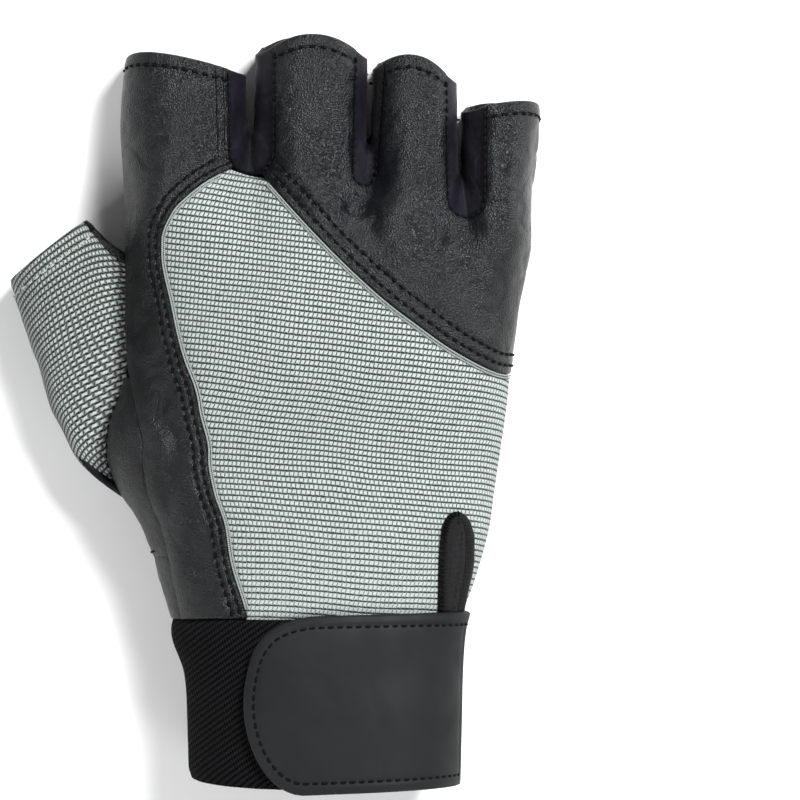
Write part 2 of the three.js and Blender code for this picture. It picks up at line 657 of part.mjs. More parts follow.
// Suede over the palm and the undersides of all four fingers
function palmSuede() {
  const edge = seam([
    [ulnarTurn(0.25), alongY(0.26)],
    ...onSkin(SUEDE_EDGE, onPalm).reverse(),
  ]);
  const low = edge(0)[1] + halfGap;
  const root = alongY(WEBS[2].palm.low);
  const first = (q) => ulnar(q < 1 ? mix(low, root, q) : mix(root, hemY(FINGERS[3], 1), q - 1), 2 * halfGap);
  const start = edge(1)[1] + halfGap;
  const neck = alongY(WEBS[0].palm.low);
  const last = (q) => palmLeft(q < 1 ? mix(start, neck, q) : mix(neck, hemY(FINGERS[0], 0.02), q - 1), -halfGap);
  const bottom = (s) => {
    if (s === 0) return first(0);
    return s === 1 ? last(0) : beside(edge, s, halfGap);
  };
  return fingersPanel({
    level: "palm", order: [3, 2, 1, 0], fingerCells: [4, 4, 4, 5], gapCells: 4, lower: 9, upper: 4,
    bottom, first, last, wall: SUEDE_WALL,
  });
}
add("palm_suede", palmSuede(), "suede");

// The elastic wrist cuff, a tube lower on the back than on the palm
function cuff() {
  const columns = 32;
  const rows = 6;
  const at = (i, j) => {
    const turn = (4 * i) / columns;
    const rim = CUFF_SEAM - CUFF_HEIGHT * mix(0.88, 1, 0.5 + 0.5 * Math.cos(turn * halfTurn));
    return [turn, mix(rim, CUFF_SEAM - halfGap, j / rows)];
  };
  return panel(columns, rows, at, CUFF_WALL, 0, undefined, true);
}
add("cuff", cuff(), "elastic");

// The pads stand on the suede and touch the surface. The thumb-side pad fills the curve of the palm's seam, the
// outer one follows it along the roots of the fingers and down the little-finger side.
const padArc = seam(onSkin(PAD_ARC, onPalm));
const padEdge = (y) => [palmLeftTurn(share(y)), y];

function thumbSidePad() {
  const low = alongY(SUEDE_EDGE[0].along) + 3;
  const high = padArc(0)[1] - 2 * halfGap;
  const arc = (s) => beside(padArc, clamp(s, 0.02, 1), halfGap + 0.4);
  const right = (q) => arc(mix(0.985, PAD_ARC_CORNER, q));
  const top = (s) => (s === 1 ? sideways(...padEdge(high), -3) : arc(mix(PAD_ARC_CORNER, 0.02, s)));
  const floor = seam(onSkin(SUEDE_EDGE.slice(0, 5), onPalm).reverse());
  const bottom = (s) => {
    if (s === 0) return right(0);
    const [turn, y] = floor(s);
    return s === 1 ? sideways(...padEdge(low), -3) : [turn, y + 2.5];
  };
  const last = (q) => sideways(...padEdge(mix(low, high, q)), -3);
  const place = (i, j) => patch({ bottom, top, left: right, right: last }, i / 7, j / 7);
  return panel(7, 7, place, PAD_WALL, PAD_LIFT);
}
add("palm_pad_thumb_side", thumbSidePad(), "suede");

function outerPad() {
  const columns = 5;
  const rows = 16;
  const outside = seam(onSkin(OUTER_PAD_EDGE, onPalm));
  const at = (i, j) => {
    const s = mix(0.01, 0.99, j / rows);
    return between(beside(padArc, s, -halfGap - 0.4), outside(s), i / columns);
  };
  return panel(columns, rows, at, PAD_WALL, PAD_LIFT);
}
add("palm_pad_outer", outerPad(), "suede");

// Leather at the root of the thumb: the palm's lower thumb side, round that side, and a strip up the thumb's root
const thenarSeam = seam([...onSkin(THENAR_EDGE, onPalm), [3.0, alongY(0.135)], [4 + foldTurn(0.14), alongY(0.14)]]);

function thenarLeather() {
  const palmColumns = 7;
  const sideColumns = 3;
  const lower = 4;
  const strip = 5;
  const tip = alongY(0.54);
  const openingLow = alongY(THUMB_OPENING.low) - SEAM_GAP;
  const corner = passing(thenarSeam, 3);
  const top = seam([
    ...onSkin(SUEDE_EDGE.slice(0, 4), onPalm).reverse().map(([turn, y]) => [turn, y - 2 * halfGap]),
    sideways(...padEdge(alongY(0.305)), 0.6),
    [3, openingLow],
  ]);
  const at = (i, j) => {
    if (i <= palmColumns) {
      const s = i / palmColumns;
      const bottom = beside(thenarSeam, mix(0.02, corner, s), halfGap);
      const head = j > lower ? [3, mix(openingLow, tip, (j - lower) / strip)] : top(mix(0.01, 1, s));
      return j > lower ? head : between(bottom, head, j / lower);
    }
    const s = (i - palmColumns) / sideColumns;
    if (j <= lower) {
      const bottom = beside(thenarSeam, mix(corner, 0.995, s), halfGap);
      const y = mix(bottom[1], openingLow, j / lower);
      return [mix(3, 4 + fold(y, -2 * halfGap)[0], s), y];
    }
    const y = mix(openingLow, tip, (j - lower) / strip);
    return [mix(3, 4 + fold(y, -2 * halfGap)[0], s), y];
  };
  return panel(palmColumns + sideColumns, lower + strip, at, LEATHER_WALL, 0, (i, j) => j < lower || i >= palmColumns);
}
add("thenar_leather", thenarLeather(), "leather");

// Leather over the heel of the hand, from the little-finger seam round to the fold on the thumb side
function heelLeather() {
  const parts = [7, 7, 3]; // columns under the suede, under the thenar leather and round the side
  const rows = 5;
  const floor = CUFF_SEAM + halfGap;
  const suedeSeam = seam([[ulnarTurn(0.25), alongY(0.26)], ...onSkin(SUEDE_EDGE.slice(3), onPalm).reverse()]);
  const corner = passing(thenarSeam, 3);
  const columns = parts[0] + parts[1] + parts[2];
  const upperEdge = (i) => {
    if (i <= parts[0]) return beside(suedeSeam, mix(0.01, 0.92, i / parts[0]), -halfGap);
    const under = i - parts[0];
    if (under <= parts[1]) return beside(thenarSeam, mix(0.02, corner, under / parts[1]), -halfGap);
    return beside(thenarSeam, mix(corner, 0.995, (under - parts[1]) / parts[2]), -halfGap);
  };
  const at = (i, j) => {
    const top = upperEdge(i);
    const y = mix(floor, top[1], j / rows);
    const first = ulnar(y, halfGap)[0];
    const last = 4 + fold(y, -halfGap)[0];
    if (i === 0) return [first, y];
    if (i === columns) return [last, y];
    return [mix(mix(first, last, i / columns), top[0], j / rows), y];
  };
  return panel(columns, rows, at, LEATHER_WALL);
}
add("heel_leather", heelLeather(), "leather");

// The thumb stall runs from its hem, an ellipse, to the opening in the thumb side of the hand. Its angle is 0 at the
// crotch with the index finger, a quarter on the back and half at the outer side.
const thumbTip = new THREE.Vector3(-THUMB_REACH, 0.63 * THUMB_REACH, THUMB_THICKNESS / 2 + 1);
const lean = THREE.MathUtils.degToRad(THUMB_ANGLE);
const thumbAcross = new THREE.Vector3(Math.cos(lean), Math.sin(lean), 0);
const THUMB_FLOW = {
  hem: { crotch: [0.7, -0.7], outside: [0.3, -0.95] },
  root: { crotch: [0.93, -0.36], outside: [0.63, -0.77] },
};
const SPLIT = { from: 0.13, to: 1.12 }; // the knit covers this part of half a turn and a little more

function thumbSurface([angle, down]) {
  const round = angle * Math.PI;
  const hem = thumbTip.clone()
    .addScaledVector(thumbAcross, (THUMB_WIDTH / 2) * Math.cos(round))
    .add(new THREE.Vector3(0, 0, (THUMB_THICKNESS / 2) * Math.sin(round)));
  const outside = 0.5 - 0.5 * Math.cos(round);
  const clear = SEAM_GAP + 0.15;
  const y = mix(alongY(THUMB_OPENING.high), alongY(THUMB_OPENING.low) + 2 * clear, outside);
  const below = Math.sin(round) < 0;
  const root = skinPoint(below ? [Math.min(sideways(...padEdge(y), clear)[0], 2.955), y] : [3, y]);
  root.x -= below ? 0 : clear * mix(0.5, 1, outside);
  root.z -= below ? 0 : clear * mix(1.5, 3, outside);
  const chord = root.distanceTo(hem);
  const flow = (end) => {
    const { crotch, outside: far } = THUMB_FLOW[end];
    return new THREE.Vector3(mix(crotch[0], far[0], outside), mix(crotch[1], far[1], outside), 0).multiplyScalar(chord);
  };
  const v = down;
  return hem.multiplyScalar(2 * v ** 3 - 3 * v ** 2 + 1)
    .addScaledVector(flow("hem"), v ** 3 - 2 * v ** 2 + v)
    .addScaledVector(root, 3 * v ** 2 - 2 * v ** 3)
    .addScaledVector(flow("root"), v ** 3 - v ** 2);
}

function thumbPanel(columns, from, to, wall) {
  const rows = 8;
  const gap = 0.009;
  const place = (i, j) => [mix(from + gap, to - gap, i / columns), j / rows];
  const outer = (i, j) => thumbSurface(place(i, j));
  const inner = (i, j) => raised(thumbSurface, place(i, j), -wall, 0.02, 0.02);
  return shell(columns, rows, outer, inner);
}
add("thumb_knit", thumbPanel(12, SPLIT.from, SPLIT.to, KNIT_WALL), "knit");
add("thumb_leather", thumbPanel(12, SPLIT.to, 2 + SPLIT.from, LEATHER_WALL), "leather");

// The strap lies over the back of the cuff, its end on the little-finger side sewn down and its other end rounded.
const strapPlace = (s, q) => {
  const top = CUFF_SEAM + 1.2;
  const rounding = STRAP.round * STRAP_HEIGHT * (1 - Math.sqrt(Math.max(0, 1 - (2 * q - 1) ** 2)) ** 1.2);
  const left = backTurn(STRAP_SEWN - STRAP_LENGTH + rounding, CUFF_SEAM - STRAP_HEIGHT / 2);
  const turn = mix(left, STRAP.right, s);
  const tilt = STRAP.slope * STRAP_LENGTH * (1 - s);
  return [turn, mix(top - tilt - STRAP_HEIGHT, top - tilt, q)];
};

function closureStrap() {
  const place = (i, j) => strapPlace(i / 14, j / 8);
  return panel(14, 8, place, STRAP_WALL, STRAP_WALL + STACK_GAP);
}
add("closure_strap", closureStrap(), "strap");

// The slit at the wrist: a stretch gusset in the knit with a binding round it like an upturned U
const slitMiddle = (along) => SLIT.across * PALM_WIDTH + (along - SLIT.bottom) * SLIT.lean * PALM_WIDTH;
const slitTop = CUFF_SEAM + SLIT_LENGTH + 1.5;
const slitFoot = CUFF_SEAM + 3;

function slitBinding() {
  const steps = 16;
  const legs = 5;
  const half = (SLIT_WIDTH - BINDING_WIDTH) / 2;
  const line = (i) => {
    const bend = slitTop - SLIT_WIDTH / 2;
    const middle = SLIT.across * PALM_WIDTH;
    if (i < legs) return [middle - half * 1.05, mix(slitFoot, bend, i / legs), -1, 0];
    if (i > steps - legs) return [middle + half * 1.05, mix(slitFoot, bend, (steps - i) / legs), 1, 0];
    const angle = (Math.PI * (i - legs)) / (steps - 2 * legs);
    return [middle - half * 1.05 * Math.cos(angle), bend + half * Math.sin(angle), -Math.cos(angle), Math.sin(angle)];
  };
  const place = (i, j) => {
    const [x, y, aside, up] = line(i);
    const off = mix(-BINDING_WIDTH / 2, BINDING_WIDTH / 2, j);
    const turn = backTurn(x, y);
    return sideways(turn, y + up * off, aside * off);
  };
  return panel(steps, 1, place, BINDING_WALL, BINDING_WALL + STACK_GAP);
}
add("slit_binding", slitBinding(), "binding");

function slitGusset() {
  const half = SLIT_WIDTH / 2 - BINDING_WIDTH - SEAM_GAP;
  const top = slitTop - BINDING_WIDTH - SEAM_GAP - 0.5;
  const middle = SLIT.across * PALM_WIDTH;
  const place = (i, j) => {
    const across = i / 2 - 1;
    const y = mix(slitFoot, top - 1.2 * across * across, j / 6);
    const narrow = 1 - 0.45 * clamp((y - (top - half)) / half, 0, 1);
    return sideways(backTurn(middle, y), y, across * half * narrow);
  };
  return panel(4, 6, place, GUSSET_WALL, GUSSET_WALL + STACK_GAP);
}
add("slit_gusset", slitGusset(), "binding");

// A round cord laid on the skin beside a seam
function cord(line, from, to, distance, steps) {
  const sides = 6;
  const radius = PIPING_DIAMETER / 2;
  const lift = radius + STACK_GAP;
  const centre = (i) => raised(skinPoint, beside(line, mix(from, to, i / steps), distance), lift);
  const centres = Array.from({ length: steps + 1 }, (_, i) => centre(i));
  const positions = [];
  centres.forEach((point, i) => {
    const heading = centres[Math.min(steps, i + 1)].clone().sub(centres[Math.max(0, i - 1)]).normalize();
    const out = normalOf(skinPoint, beside(line, mix(from, to, i / steps), distance), 0.02, 0.6);
    const aside = heading.clone().cross(out).normalize();
    const up = aside.clone().cross(heading);
    for (let n = 0; n < sides; n += 1) {
      const angle = (2 * Math.PI * n) / sides;
      positions.push(...point.clone()
        .addScaledVector(aside, radius * Math.cos(angle))
        .addScaledVector(up, radius * Math.sin(angle)).toArray());
    }
  });
  const faces = [];
  for (let i = 0; i < steps; i += 1) {
    for (let n = 0; n < sides; n += 1) {
      const [a, b] = [i * sides + n, i * sides + ((n + 1) % sides)];
      faces.push(a, b + sides, b, a, a + sides, b + sides);
    }
  }
  for (let n = 1; n < sides - 1; n += 1) {
    const last = steps * sides;
    faces.push(0, n, n + 1, last, last + n + 1, last + n);
  }
  const geometry = new THREE.BufferGeometry();
  geometry.setAttribute("position", new THREE.Float32BufferAttribute(positions, 3));
  geometry.setIndex(faces);
  geometry.computeVertexNormals();
  return geometry;
}
const PIPING_OFFSET = 1.9; // its middle line from the seam, over the knit or the heel
add("knit_piping_side", cord(thumbSideSeam, 0.02, 0.94, -PIPING_OFFSET, 28), "piping");
add("knit_piping_diagonal", cord(diagonalSeam, 0.05, passing(diagonalSeam, 0.97), -PIPING_OFFSET, 20), "piping");
add("thenar_piping", cord(thenarSeam, 0.06, 0.8, -PIPING_OFFSET, 12), "piping");

export default glove;
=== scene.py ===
"""Looks of a half-finger weightlifting glove for the right hand, lying palm down. Sizes are in millimetres until
a mesh is made. A place on the glove's skin is (turn, y): turn 0 is the crown of the back, 1 the little-finger
side, 2 the middle of the palm and 3, or -1, the thumb side."""
import math

import bpy
import numpy as np
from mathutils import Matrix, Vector, noise
from mathutils.bvhtree import BVHTree
from mathutils.kdtree import KDTree


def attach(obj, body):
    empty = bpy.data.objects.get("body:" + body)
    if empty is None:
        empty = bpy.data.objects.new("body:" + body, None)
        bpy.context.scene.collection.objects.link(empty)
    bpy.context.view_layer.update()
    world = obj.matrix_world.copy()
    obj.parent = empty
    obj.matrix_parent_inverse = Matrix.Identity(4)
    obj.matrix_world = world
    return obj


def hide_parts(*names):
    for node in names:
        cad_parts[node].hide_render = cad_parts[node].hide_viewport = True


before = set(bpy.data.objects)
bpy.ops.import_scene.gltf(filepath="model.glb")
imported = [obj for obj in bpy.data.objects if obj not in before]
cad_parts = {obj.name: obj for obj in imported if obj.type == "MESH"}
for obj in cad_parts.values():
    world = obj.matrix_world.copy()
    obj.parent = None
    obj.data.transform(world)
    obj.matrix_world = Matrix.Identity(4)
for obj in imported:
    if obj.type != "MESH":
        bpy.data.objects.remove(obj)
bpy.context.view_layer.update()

MM = 0.001
HALF_TURN = math.pi / 2

# Sizes that the solids share
PALM_WIDTH = 96
PALM_LENGTH = 111
PALM_THICKNESS = 36.5
CUFF_HEIGHT = 42
CUFF_WIDTH = 71
CUFF_THICKNESS = 37.5
FINGER_THICKNESS = 22.5
THUMB_WIDTH = 24.8
THUMB_THICKNESS = 23
THUMB_REACH = 67.5
THUMB_ANGLE = 38
LEATHER_WALL = 1.4
SUEDE_WALL = 1.5
KNIT_WALL = 1.5
STRETCH_WALL = 1.2
CUFF_WALL = 2.2
STRAP_WALL = 2.2
PAD_WALL = 2
STACK_GAP = 0.5
CUFF_SEAM = -0.446 * PALM_LENGTH
CROTCH_LINE = CUFF_SEAM + PALM_LENGTH
PAD_LIFT = PAD_WALL + STACK_GAP

# along, left, right, crown, side, web, lift
HAND = [
    (0.0, -0.383, 0.37, 0.98, 0.48, 1, 0.45),
    (0.086, -0.41, 0.405, 0.98, 0.47, 1, 0.9),
    (0.203, -0.456, 0.442, 0.99, 0.46, 1, 1),
    (0.29, -0.52, 0.457, 1.0, 0.45, 1, 1),
    (0.37, -0.552, 0.471, 1.0, 0.45, 1, 1),
    (0.44, -0.545, 0.483, 1.0, 0.44, 1, 1),
    (0.541, -0.506, 0.498, 1.0, 0.43, 1, 1),
    (0.671, -0.5, 0.519, 0.98, 0.41, 1, 1),
    (0.806, -0.5, 0.542, 0.9, 0.38, 1, 1),
    (0.9, -0.501, 0.552, 0.78, 0.36, 0.85, 0.9),
    (0.97, -0.504, 0.56, 0.63, 0.35, 0.6, 0.6),
    (1.03, -0.508, 0.565, 0.48, 0.33, 0.3, 0.45),
    (1.104, -0.513, 0.573, 0.31, 0.31, 0, 0.35),
    (1.3, -0.497, 0.585, 0.28, 0.3, 0, 0.3),
]
# down, left, right, crown, side
CUFF = [
    (0.12, -0.51, 0.488, 0.97, 0.47),
    (0.32, -0.468, 0.48, 0.98, 0.48),
    (0.6, -0.456, 0.476, 1.0, 0.49),
    (1.2, -0.45, 0.468, 1.0, 0.49),
]
# length, root left and right, tip left and right, hem at the left, the middle and the right
FINGERS = [
    (28.5, -0.5, -0.178, -0.5, -0.19, (1, 1.05, 0.86)),
    (32.5, -0.17, 0.128, -0.16, 0.129, (0.95, 1.03, 0.915)),
    (27.5, 0.138, 0.37, 0.142, 0.362, (1, 1.03, 0.86)),
    (16.5, 0.38, 0.565, 0.374, 0.58, (0.99, 1.06, 0.86)),
]
FINGER_SWELL = 1.16
# each web's U on the back, half way down and on the palm: x, half, low, tips
WEBS = [
    {"back": (-0.171, 0.058, 1.0, (-0.235, -0.113)), "mid": (-0.175, 0.009, 1.09, (-0.189, -0.162)),
     "palm": (-0.19, 0.034, 0.998, (-0.243, -0.149))},
    {"back": (0.122, 0.032, 0.972, (0.098, 0.174)), "mid": (0.133, 0.006, 1.07, (0.128, 0.143)),
     "palm": (0.107, 0.028, 0.976, (0.073, 0.156))},
    {"back": (0.386, 0.05, 0.9, (0.332, 0.437)), "mid": (0.371, 0.006, 1.0, (0.361, 0.376)),
     "palm": (0.359, 0.026, 0.905, (0.312, 0.385))},
]
WEB_NAMES = ["index_middle", "middle_ring", "ring_little"]
ARC_SHARE = 0.4
APEX = (-0.21, 0.1)
THUMB_SIDE_SEAM = [
    (-0.183, 0), (-0.23, 0.143), (-0.26, 0.259), (-0.285, 0.371), (-0.31, 0.476), (-0.35, 0.587),
    (-0.385, 0.716), (-0.405, 0.795), (-0.407, 0.847), (-0.38, 0.912), (-0.34, 0.95), (-0.28, 0.989),
]
DIAGONAL_SEAM = [
    (-0.048, 0.905), (0.056, 0.811), (0.155, 0.731), (0.238, 0.674), (0.347, 0.607), (0.441, 0.563),
    (0.49, 0.551),
]
DIAGONAL_END = 0.551
ULNAR_SEAM = [(0, 1.33), (0.08, 1.36), (0.167, 1.3), (0.257, 1.25), (0.47, 1.2), (1.3, 1.2)]
FOLD_SEAM = [
    (0, -0.75), (0.08, -0.735), (0.22, -0.683), (0.38, -0.593), (0.47, -0.68), (0.56, -0.87), (0.65, -1),
    (1.3, -1),
]
PALM_LEFT = [
    (0.25, 3), (0.285, 3), (0.31, 2.8), (0.35, 2.68), (0.47, 2.6), (0.6, 2.62), (0.72, 2.72), (0.79, 2.85),
    (0.825, 3), (1.3, 3),
]
THUMB_OPENING = (0.287, 0.82)
THENAR_TOP = 0.54
SUEDE_EDGE = [
    (-0.42, 0.33), (-0.31, 0.318), (-0.188, 0.302), (-0.062, 0.281), (0.077, 0.257), (0.217, 0.245),
    (0.36, 0.25),
]
THENAR_EDGE = [
    (-0.1, 0.284), (-0.115, 0.207), (-0.146, 0.149), (-0.188, 0.112), (-0.24, 0.1), (-0.33, 0.112),
    (-0.405, 0.13),
]
PAD_ARC = [
    (-0.41, 0.715), (-0.34, 0.722), (-0.23, 0.719), (-0.125, 0.705), (-0.027, 0.678), (0.042, 0.635),
    (0.098, 0.575), (0.125, 0.485), (0.133, 0.365), (0.133, 0.282),
]
PAD_ARC_CORNER = 0.52
PAD_GAP = 0.2
OUTER_PAD_EDGE = [
    (-0.42, 0.83), (-0.3, 0.832), (-0.125, 0.827), (0.2, 0.808), (0.37, 0.795), (0.43, 0.765), (0.445, 0.7),
    (0.435, 0.5), (0.41, 0.36), (0.39, 0.28),
]
BINDING_WIDTH = 2.3
SLIT_LINE = [
    (31.0, -47.3), (31.1, -42), (31.3, -36), (31.7, -29.5), (32.5, -25.7), (34.2, -24.1), (36.0, -25.6),
    (37.0, -29.8), (36.7, -36), (35.4, -42), (34.2, -47.6),
]
SLIT_TOP = 0.5
# Swellings of the leather: middle, height and reach
KNUCKLES = [
    ((-4.5, 52), 1.625, 8), ((20, 50), 1.625, 8), ((41, 42), 1.75, 9), ((-35, 60), 1.125, 9),
    ((30, 34), 1, 9),
]
# Creases of the leather: from, to and depth
VALLEYS = [
    ((8.5, 54), (3, 38), 1.125), ((34, 44), (22, 30), 1.125), ((33, 46), (38, 30), 0.75),
    ((9, 54), (17, 40), 0.75), ((-17, 58), (-33, 48), 0.875), ((-46, 20), (-38, 34), 0.875), ((-41, -40), (-35, -5), 1),
]
VALLEY_REACH = 2.6
# The strap: its length and height, its right end's turn, the slopes of its edges, its free end's corners, the
# x of its sewn end, how far it stands above the cuff's seam and its stitches' distance from its edge
STRAP_LENGTH = 54.4
STRAP_HEIGHT = 43.2
STRAP_RIGHT = 0.93
STRAP_SLOPES = (0.036, 0.024)
STRAP_CORNERS = (14.2, 19.5)
STRAP_SEWN = 0.385 * PALM_WIDTH
STRAP_RISE = 2
STRAP_ROW = 2.6
# How the hand's body and its stalls flow together, and how square they are
BLEND = 4
BACK_ROUND = 2.4
PALM_ROUND = 4
STALL_ROUND = 3
PRESS = 3
SOFTNESS = 2
STALLS_START = 0.58
STALLS_FULL = 0.92
# Millimetres that one turn counts as where a seam or a grid is laid out
TURN_LENGTH = 60
# How far a wall between fingers is drawn in half way down, and how deep in the cloths it starts and ends
WALL_TUCK = 0.06
WALL_SEAT = 0.75
# The thumb's slant, how far its outer side bulges and how far its root falls below the opening
THUMB_LEAN = math.radians(THUMB_ANGLE)
THUMB_BULGE = 3.4
THUMB_ROOT_DROP = 3.2
# Half-turns round the thumb where its knit starts and ends
SPLIT = (0.13, 1.26)
# The cloth's own gap to each side of a seam, and its least height above the floor
SEAM_HALF = 0.08
CLOTH_FLOOR = 0.03
THREAD_FLOOR = 0.02
# Distances of the two stitch rows from a sewn edge
LEATHER_ROWS = (2.0, 4.7)
INDEX_ROWS = (1.3, 3.4)
PAD_ROWS = (2.0, 4.3)
HEM_ROW = 3.0
SUEDE_HEM_ROWS = (3.0, 5.2)
# Grid cells to a unit of a panel's layout
LEATHER_FINE = 8
SUEDE_FINE = 6


def mix(a, b, share):
    return a + (b - a) * share


def smooth(value, low, high):
    t = np.clip((value - low) / (high - low), 0, 1)
    return t * t * (3 - 2 * t)


def track(at, value):
    """A smooth line through rows that never swings past a row."""
    at = np.asarray(at, float)
    value = np.asarray(value, float)
    slope = np.gradient(value)
    for i in range(len(at)):
        before, after = max(i - 1, 0), min(i + 1, len(at) - 1)
        turns_back = before < i < after and (value[i] - value[before]) * (value[after] - value[i]) <= 0
        slope[i] = 0 if turns_back else (value[after] - value[before]) / (at[after] - at[before])

    def line(x):
        x = np.clip(x, at[0], at[-1])
        i = np.clip(np.searchsorted(at, x, side="left") - 1, 0, len(at) - 2)
        step = at[i + 1] - at[i]
        s = (x - at[i]) / step
        ease = s * s * (3 - 2 * s)
        leave = s * (1 - s) ** 2 * step * slope[i]
        arrive = s * s * (1 - s) * step * slope[i + 1]
        return mix(value[i], value[i + 1], ease) + leave - arrive

    return line


def along_y(along):
    return CUFF_SEAM + np.asarray(along) * PALM_LENGTH


def share_of(y):
    return (y - CUFF_SEAM) / PALM_LENGTH


def even_shares(count):
    return np.linspace(0, 1, count + 1)


def stacked(*parts):
    return np.stack(parts, -1)


def travelled(points):
    """Length along a line of points, up to each of them."""
    return np.concatenate([[0], np.cumsum(np.linalg.norm(np.diff(points, axis=0), axis=1))])


# y, left, right, crown, side, web, lift
cuff_rows = np.array([(*row, 1, 0) for row in reversed(CUFF)])
cuff_rows *= (-CUFF_HEIGHT, CUFF_WIDTH, CUFF_WIDTH, CUFF_THICKNESS, CUFF_THICKNESS, 1, 1)
cuff_rows[:, 0] += CUFF_SEAM
hand_rows = np.array(HAND) * (1, PALM_WIDTH, PALM_WIDTH, PALM_THICKNESS, PALM_THICKNESS, 1, PAD_LIFT)
hand_rows[:, 0] = along_y(hand_rows[:, 0])
outline = np.concatenate([cuff_rows, hand_rows]).T
left_at, right_at, crown_at, side_at, web_at, lift_at = [track(outline[0], row) for row in outline[1:]]
ulnar_turn = track(*zip(*ULNAR_SEAM))
fold_turn = track(*zip(*FOLD_SEAM))
palm_left_turn = track(*zip(*PALM_LEFT))


def dome(offset, half, power):
    return np.sqrt(np.maximum(0, 1 - np.abs(offset / half) ** power))


def stalls(x, y, power):
    strength = smooth(share_of(y), STALLS_START, STALLS_FULL)
    out = []
    for n, (length, root_l, root_r, tip_l, tip_r, _) in enumerate(FINGERS):
        rise = np.clip((y - CROTCH_LINE) / length, -1.2, 1.3)
        left = left_at(y) if n == 0 else mix(root_l, tip_l, rise) * PALM_WIDTH
        right = right_at(y) if n == 3 else mix(root_r, tip_r, rise) * PALM_WIDTH
        swell = mix(FINGER_SWELL, 1, np.clip(rise, -0.5, 1))
        part = strength * dome(x - (left + right) / 2, (right - left) / 2, power)
        out.append((swell * FINGER_THICKNESS, part))
    return out


def back_z(x, y):
    side = side_at(y)
    middle = (left_at(y) + right_at(y)) / 2
    body = np.maximum(0, crown_at(y) - side) * dome(x - middle, right_at(y) - middle, BACK_ROUND)
    total = body ** BLEND
    for crown, part in stalls(x, y, BACK_ROUND):
        total = total + ((crown - side) * part) ** BLEND
    return side + total ** (1 / BLEND)


def palm_z(x, y):
    side = side_at(y)
    floor = lift_at(y)
    depth = side - floor + PRESS
    middle = (left_at(y) + right_at(y)) / 2
    total = (web_at(y) * depth * dome(x - middle, right_at(y) - middle, PALM_ROUND)) ** BLEND
    for _, part in stalls(x, y, STALL_ROUND):
        total = total + (depth * part) ** BLEND
    height = side - total ** (1 / BLEND) - floor
    soft = np.where(height < -SOFTNESS, 0, (height + SOFTNESS) ** 2 / (4 * SOFTNESS))
    return floor + np.where(height > SOFTNESS, height, soft)


def skin(turn, y):
    turn, y = np.broadcast_arrays(np.asarray(turn, float), np.asarray(y, float))
    middle = (left_at(y) + right_at(y)) / 2
    x = middle + (right_at(y) - middle) * np.sin(turn * HALF_TURN)
    z = np.where(np.cos(turn * HALF_TURN) >= 0, back_z(x, y), palm_z(x, y))
    return stacked(x, y, z)


def unit(v):
    return v / np.maximum(np.linalg.norm(v, axis=-1, keepdims=True), 1e-9)


def normals_of(surface, u, v, du=0.02, dv=0.6):
    along = surface(u + du, v) - surface(u - du, v)
    up = surface(u, v + dv) - surface(u, v - dv)
    return unit(np.cross(along, up))


def back_turn(x, y):
    middle = (left_at(y) + right_at(y)) / 2
    return np.arcsin(np.clip((x - middle) / (right_at(y) - middle), -1, 1)) / HALF_TURN


def on_back(x, y):
    return stacked(back_turn(x, y), y + 0 * x)


def on_palm(x, y):
    return stacked(2 - back_turn(x, y), y + 0 * x)


def on_skin(rows, place):
    across, along = np.array(rows).T
    return place(across * PALM_WIDTH, along_y(along))


def hem_y(n, where):
    length, *_, (left, middle, right) = FINGERS[n]
    bow = (middle - (left + right) / 2) * 4 * where * (1 - where)
    return CROTCH_LINE + length * (mix(left, right, where) + bow)


def web_point(k, level, travel):
    x, half, low, tips = WEBS[k][level]
    travel = np.asarray(travel, float)
    way = np.sign(travel)
    rise = max(half * PALM_WIDTH, 2)
    reach = np.abs(travel)
    angle = np.minimum(reach, ARC_SHARE) / ARC_SHARE * HALF_TURN
    sx = x * PALM_WIDTH + way * half * PALM_WIDTH * np.sin(angle)
    sy = along_y(low) + rise * (1 - np.cos(angle))
    up = np.clip((reach - ARC_SHARE) / (1 - ARC_SHARE), 0, 1)
    tx = np.where(way < 0, tips[0], tips[1]) * PALM_WIDTH
    ty = np.where(way < 0, hem_y(k, 0.9), hem_y(k + 1, 0.1))
    return mix(sx, tx, up), mix(sy, ty, up)


def seam(places):
    """A smooth seam through places: share 0 to 1 gives an array of (turn, y)."""
    flat = np.array(places) * (TURN_LENGTH, 1)
    at = travelled(flat)
    u, v = track(at, flat[:, 0]), track(at, flat[:, 1])

    def line(s):
        s = np.clip(s, 0, 1) * at[-1]
        return stacked(u(s) / TURN_LENGTH, v(s))

    return line


def beside(line, s, distance):
    """Places moved by millimetres to the left of a seam."""
    here = line(s)
    ahead, behind = line(np.minimum(1, s + 0.01)), line(np.maximum(0, s - 0.01))
    heading = unit(skin(*np.moveaxis(ahead, -1, 0)) - skin(*np.moveaxis(behind, -1, 0)))
    turn, y = np.moveaxis(here, -1, 0)
    aside = np.cross(normals_of(skin, turn, y), heading) * np.asarray(distance)[..., None]
    around = (skin(turn + 0.01, y) - skin(turn - 0.01, y)) / 0.02
    shift = aside[..., 0] * around[..., 0] + aside[..., 2] * around[..., 2]
    shift = shift / (around[..., 0] ** 2 + around[..., 2] ** 2)
    return stacked(turn + shift, y + aside[..., 1])


def sideways(turn, y, distance):
    length = np.linalg.norm(skin(turn + 0.01, y) - skin(turn - 0.01, y), axis=-1) / 0.02
    return stacked(turn + distance / length, y + 0 * turn)


def passing(line, turn):
    s = np.linspace(0, 1, 4001)
    turns = line(s)[:, 0]
    rising = turns[-1] > turns[0]
    return float(s[np.argmax(turns > turn if rising else turns < turn)])


